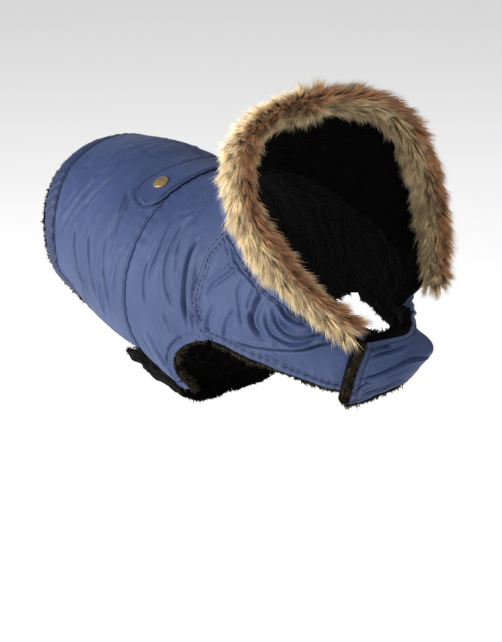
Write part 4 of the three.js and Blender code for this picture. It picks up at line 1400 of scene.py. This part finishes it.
def fringe(name, edge_line, drop, kind, seed, across=3.5, density=260000.0, small=0.6, large=1.15,
           rise=0.25, stray=0.5):
    """Tufts along an edge, at a height over it, that are combed outwards over it."""
    p, n, way = edge_line
    p = p + n * drop
    rows = np.stack([p - way * across, p, p + way * 0.3])
    comb = np.broadcast_to(unit(way + n * rise), rows.shape)
    quads = grid_quads(np.arange(rows.size // 3).reshape(rows.shape[:2]))
    finish, slot = kind
    tufts = run_tree(SCATTER, combed("fringe_base", rows, quads, comb), name,
                     {"Locks": PILE_TUFTS, "Density": density, "Smallest": small, "Largest": large,
                      "Stray": stray, "Seed": seed, "Finish": finish})
    own(tufts, None)


skirt_grid, body_grid = (pile_p, pile_n), (body_pile_p, body_pile_n)
left_grid = (left_pile_p, left_pile_n)
fringe("rear_fringe", rim(skirt_grid, row=0), PILE_OUT - 0.6, LINING, 11,
       density=THICK_FRINGE, small=0.45, large=0.95, rise=0.7, stray=0.8)
for side, column, seed in (("left", 0, 12), ("right", -1, 13)):
    fringe("side_fringe_" + side, rim(skirt_grid, column=column), PILE_OUT - 1.6, LINING, seed,
           small=0.4, large=0.8)
for side, sign, seed in (("right", 1, 14), ("left", -1, 15)):
    notch = sign * from_spine[::2] > NOTCH_START + 0.1
    fringe("notch_fringe_" + side, rim(body_grid, row=-1, keep=notch), PILE_OUT - 1.6, EDGE, seed,
           across=7.5, density=THICK_FRINGE, small=0.8, large=1.6, stray=0.7)
for side, grid, seed in (("right", (right_pile_p, right_pile_n), 16), ("left", left_grid, 17)):
    fringe("chest_fringe_" + side, rim(grid, row=0), PILE_OUT - 1.4, EDGE, seed,
           density=THICK_FRINGE, stray=0.7)
fringe("flap_top_fringe", rim(left_grid, row=-1, keep=left_a > 146), PILE_OUT - 1.6, LINING, 18,
       density=THICK_FRINGE, small=0.8, large=1.5)
roll_line = (roll_p[:, 4], roll_n[:, 4], unit(roll_p[:, 5] - roll_p[:, 3]))
fringe("flap_edge_fringe", roll_line, 0.6, EDGE, 19,
       across=6.5, density=520000.0, small=0.40, large=0.85, rise=1.0, stray=1.0)
for side, row, seed in (("rear", 0, 20), ("front", -1, 21)):
    fringe("belly_fringe_" + side, rim((belly_p, belly_n), row=row), hang[row][:, None] - 2.5, LINING, seed,
           density=300000.0, small=0.5, large=1.1, rise=0.0, stray=0.8)

# %% [markdown]
# ## Stitching
# Every topstitched line is a row of short thread stitches, each a small capsule lying half in the
# cloth. The line is a chain of edges on the worn surface; a second Geometry Nodes tree turns it into
# a curve, spaces points along it, and lays a capsule on each, along the line.

# %% Thread
thread, shader, add, link = new_material("blue_thread", 0.6, sheen=0.02)
where = add("ShaderNodeTexCoord").outputs["Object"]
twist = speckle(add, where, 1500, 2)
thread_blue = ramp(add, twist, (0.3, (0.006, 0.010, 0.030)), (0.7, (0.014, 0.022, 0.058)))
link(thread_blue, shader.inputs["Base Color"])
link(bumps(add, (twist, 0.6, 0.0003)), shader.inputs["Normal"])


def capsule(length=3.0, radius=0.52, sides=6):
    """One stitch, along X."""
    points, faces = [[-length / 2, 0, 0]], []
    for x, r in ((-0.42, 0.7), (-0.22, 1.0), (0.22, 1.0), (0.42, 0.7)):
        for j in range(sides):
            a = 2 * math.pi * j / sides
            points.append([x * length, r * radius * math.cos(a), r * radius * math.sin(a)])
    points.append([length / 2, 0, 0])
    for j in range(sides):
        k = (j + 1) % sides
        faces.append((0, 1 + k, 1 + j))
        for ring in range(3):
            a = 1 + ring * sides
            faces.append((a + j, a + k, a + sides + k, a + sides + j))
        faces.append((1 + 3 * sides + j, 1 + 3 * sides + k, len(points) - 1))
    return new_object("stitch", points, faces, thread)


STITCH = shape_set("stitches", [capsule()])


# %% Stitch tree
def stitch_tree():
    """Geometry Nodes that lay a shape at every step of a line, turned along it."""
    sockets = {"Locks": "Collection", "Pitch": "Float", "Finish": "Material"}
    tree, inputs, add, way_out = new_tree("lay_stitches", sockets)
    curve = add("GeometryNodeMeshToCurve", i0=inputs["Geometry"])
    even = add("GeometryNodeResampleCurve", {"mode": "LENGTH"}, Curve=curve.outputs[0],
               Length=inputs["Pitch"])
    tangent = add("GeometryNodeInputTangent")
    kept = add("GeometryNodeStoreNamedAttribute", {"data_type": "FLOAT_VECTOR", "domain": "POINT"},
               Geometry=even.outputs[0], Name="run", Value=tangent.outputs[0])
    points = add("GeometryNodeCurveToPoints", {"mode": "EVALUATED"}, Curve=kept.outputs[0])
    run = add("GeometryNodeInputNamedAttribute", {"data_type": "FLOAT_VECTOR"}, Name="run")
    aim = add("FunctionNodeAlignRotationToVector", {"axis": "X"}, Vector=run.outputs["Attribute"])
    shapes = add("GeometryNodeCollectionInfo", Collection=inputs["Locks"], **APART)
    placed = add("GeometryNodeInstanceOnPoints", Points=points.outputs["Points"], Instance=shapes.outputs[0],
                 Rotation=aim.outputs[0])
    real = add("GeometryNodeRealizeInstances", Geometry=placed.outputs[0])
    done = add("GeometryNodeSetMaterial", Geometry=real.outputs[0], Material=inputs["Finish"])
    tree.links.new(done.outputs[0], way_out)
    return tree


STITCHES = stitch_tree()
STITCH_PITCH = 0.0033           # metres


def stitched(name, lines):
    """Rows of stitches, each row given as its points in space."""
    starts = np.cumsum([0] + [len(x) for x in lines])
    edges = [(k, k + 1) for a, b in zip(starts[:-1], starts[1:]) for k in range(a, b - 1)]
    mesh = bpy.data.meshes.new(name)
    mesh.from_pydata((np.vstack(lines) * MM).tolist(), edges, [])
    values = {"Locks": STITCH, "Pitch": STITCH_PITCH, "Finish": thread}
    own(run_tree(STITCHES, linked("line", mesh), name, values), None)


def on_cloth(table, sign, strokes, lift=None):
    """Points of a row that lies on the worn cloth, on the lifted part too if lift is given."""
    s, a = (np.asarray(table, float)[:, :2] * [1, sign]).T
    p, n = surface(s, a)
    height = relief(p, n, strokes) + 0.3 + (lift(a) if lift else 0.0)
    return p + n * height[:, None]


# %% Rows of stitches
rows = []
for sign, worn, lift in ((1, SEAMS + RIGHT, None), (-1, SEAMS + LEFT, lift_at)):
    rows.append(on_cloth(parallel(WAIST, WAIST_ROW, 160), sign, worn))
    rows += [on_cloth(parallel(SHOULDER, mm, 90), sign, worn) for mm in SHOULDER_ROWS]
    rows.append(on_cloth(parallel(casing_seam(24)[:18], CASING_ROW, 150), sign, worn))
    rows.append(on_cloth(parallel(NOTCH_REAR, NOTCH_ROW, 90), sign, worn))
    rows.append(on_cloth(parallel(BACK_NECK + NECK_SIDE[1:7], NECK_ROW, 150), sign, worn, lift))
    rows.append(on_cloth(parallel(CHEST_SIDE + CHEST_FRONT[1:2], CHEST_ROW, 110), sign, worn, lift))
for table, mm, sign in ((mirrored(FLAP_NECK), FLAP_NECK_ROW, -1), (mirrored(FLAP_HEM), FLAP_HEM_ROW, -1),
                        (FLAP_EDGE, FLAP_EDGE_ROW, 1)):
    rows.append(on_cloth(parallel(table, mm, 90), sign, SEAMS + LEFT, lift_at))
stitched("cloth_stitches", rows)


def inside(p, gap):
    """A closed row that runs a gap inside the rim of a grid, as indices of its nearest points."""
    i, j = p.shape[0] // 2, p.shape[1] // 2
    low, high, start, end = rim_distance(p)
    top, bottom, left, right = [np.abs(d - gap).argmin() for d in (low[:, j], high[:, j], start[i], end[i])]
    rows = [(top, c) for c in range(left, right + 1)] + [(r, right) for r in range(top, bottom + 1)]
    rows += [(bottom, c) for c in range(right, left - 1, -1)]
    rows += [(r, left) for r in range(bottom, top - 1, -1)]
    return tuple(np.array(rows).T)


belt_top = belt_p + belt_n * (2.55 + under + soft_top)[..., None]
stitched("belt_stitches", [belt_top[inside(belt_p, 3.0)]])

# %% [markdown]
# ## Snaps
# Each end of the half belt has a brass snap: a shallow dome with a rolled rim and a small dimple. It
# is a profile turned round its own axis, so a short table of radius and height is all it needs.

# %% Brass
brass, shader, add, link = new_material("aged_brass", 0.48, metallic=0.65)
where = add("ShaderNodeTexCoord").outputs["Object"]
age = speckle(add, where, 420, 4, 0.6)
link(ramp(add, age, (0.3, (0.27, 0.175, 0.070)), (0.75, (0.47, 0.33, 0.145))), shader.inputs["Base Color"])
link(bumps(add, (age, 0.25, 0.0004)), shader.inputs["Normal"])
SNAP_PROFILE = [[7.9, -1.2], [8.0, -0.2], [7.9, 0.6], [7.5, 1.15], [6.9, 1.4], [6.3, 1.3], [5.9, 1.25],
                [5.0, 1.65], [3.8, 1.95], [2.4, 2.15], [1.1, 2.2]]


SNAP_S, SNAP_ANGLE, SNAP_HEIGHT, SNAP_POINTS = 2.09, 26, 3.38, 40
SNAP_TOP, SNAP_UNDER = 2.22, -1.2       # heights of the dimple's middle and of the flat underside


def snap(name, angle):
    """A brass cap turned round the facing of the belt at an angle."""
    p, n = surface(SNAP_S, angle)
    p = p + n * SNAP_HEIGHT
    side = unit(np.cross(n, [1.0, 0, 0]))
    up, around = np.cross(side, n), SNAP_POINTS
    turn = np.linspace(0, 2 * math.pi, around, endpoint=False)
    circle = np.cos(turn)[:, None] * side + np.sin(turn)[:, None] * up
    points = [p + circle * r + n * z for r, z in SNAP_PROFILE] + [p + n * SNAP_TOP, p + n * SNAP_UNDER]
    last = (len(SNAP_PROFILE) - 1) * around
    top = last + around
    faces = []
    for j in range(around):
        k = (j + 1) % around
        faces += [(i + j, i + k, i + around + k, i + around + j) for i in range(0, last, around)]
        faces += [(last + j, last + k, top), (k, j, top + 1)]
    piece = new_object(name, np.vstack(points), faces, brass)
    face_outwards(piece)
    return own(piece, name.replace("_cap", ""))


caps = [snap("snap_right_cap", SNAP_ANGLE), snap("snap_left_cap", -SNAP_ANGLE)]
print("snaps:", [cap.name for cap in caps])

# %% [markdown]
# ## Floor
# A pale floor lies under the coat. Its faint glow keeps the
# ground white without a hard horizon, as a studio sweep does.

# %% Floor
FLOOR_HALF, FLOOR_Z, FLOOR_GLOW = 12.0, -0.42, 0.5
floor_mesh = bpy.data.meshes.new("floor")
corners = [(x * FLOOR_HALF, y * FLOOR_HALF, FLOOR_Z) for x, y in ((-1, -1), (1, -1), (1, 1), (-1, 1))]
floor_mesh.from_pydata(corners, [], [(0, 1, 2, 3)])
floor = linked("floor", floor_mesh)
paint, shader, add, link = new_material("pale_floor", 0.9)
shader.inputs["Base Color"].default_value = (0.86, 0.86, 0.86, 1)
shader.inputs["Specular IOR Level"].default_value = 0.1
shader.inputs["Emission Color"].default_value = (1, 1, 1, 1)
shader.inputs["Emission Strength"].default_value = FLOOR_GLOW
floor_mesh.materials.append(paint)
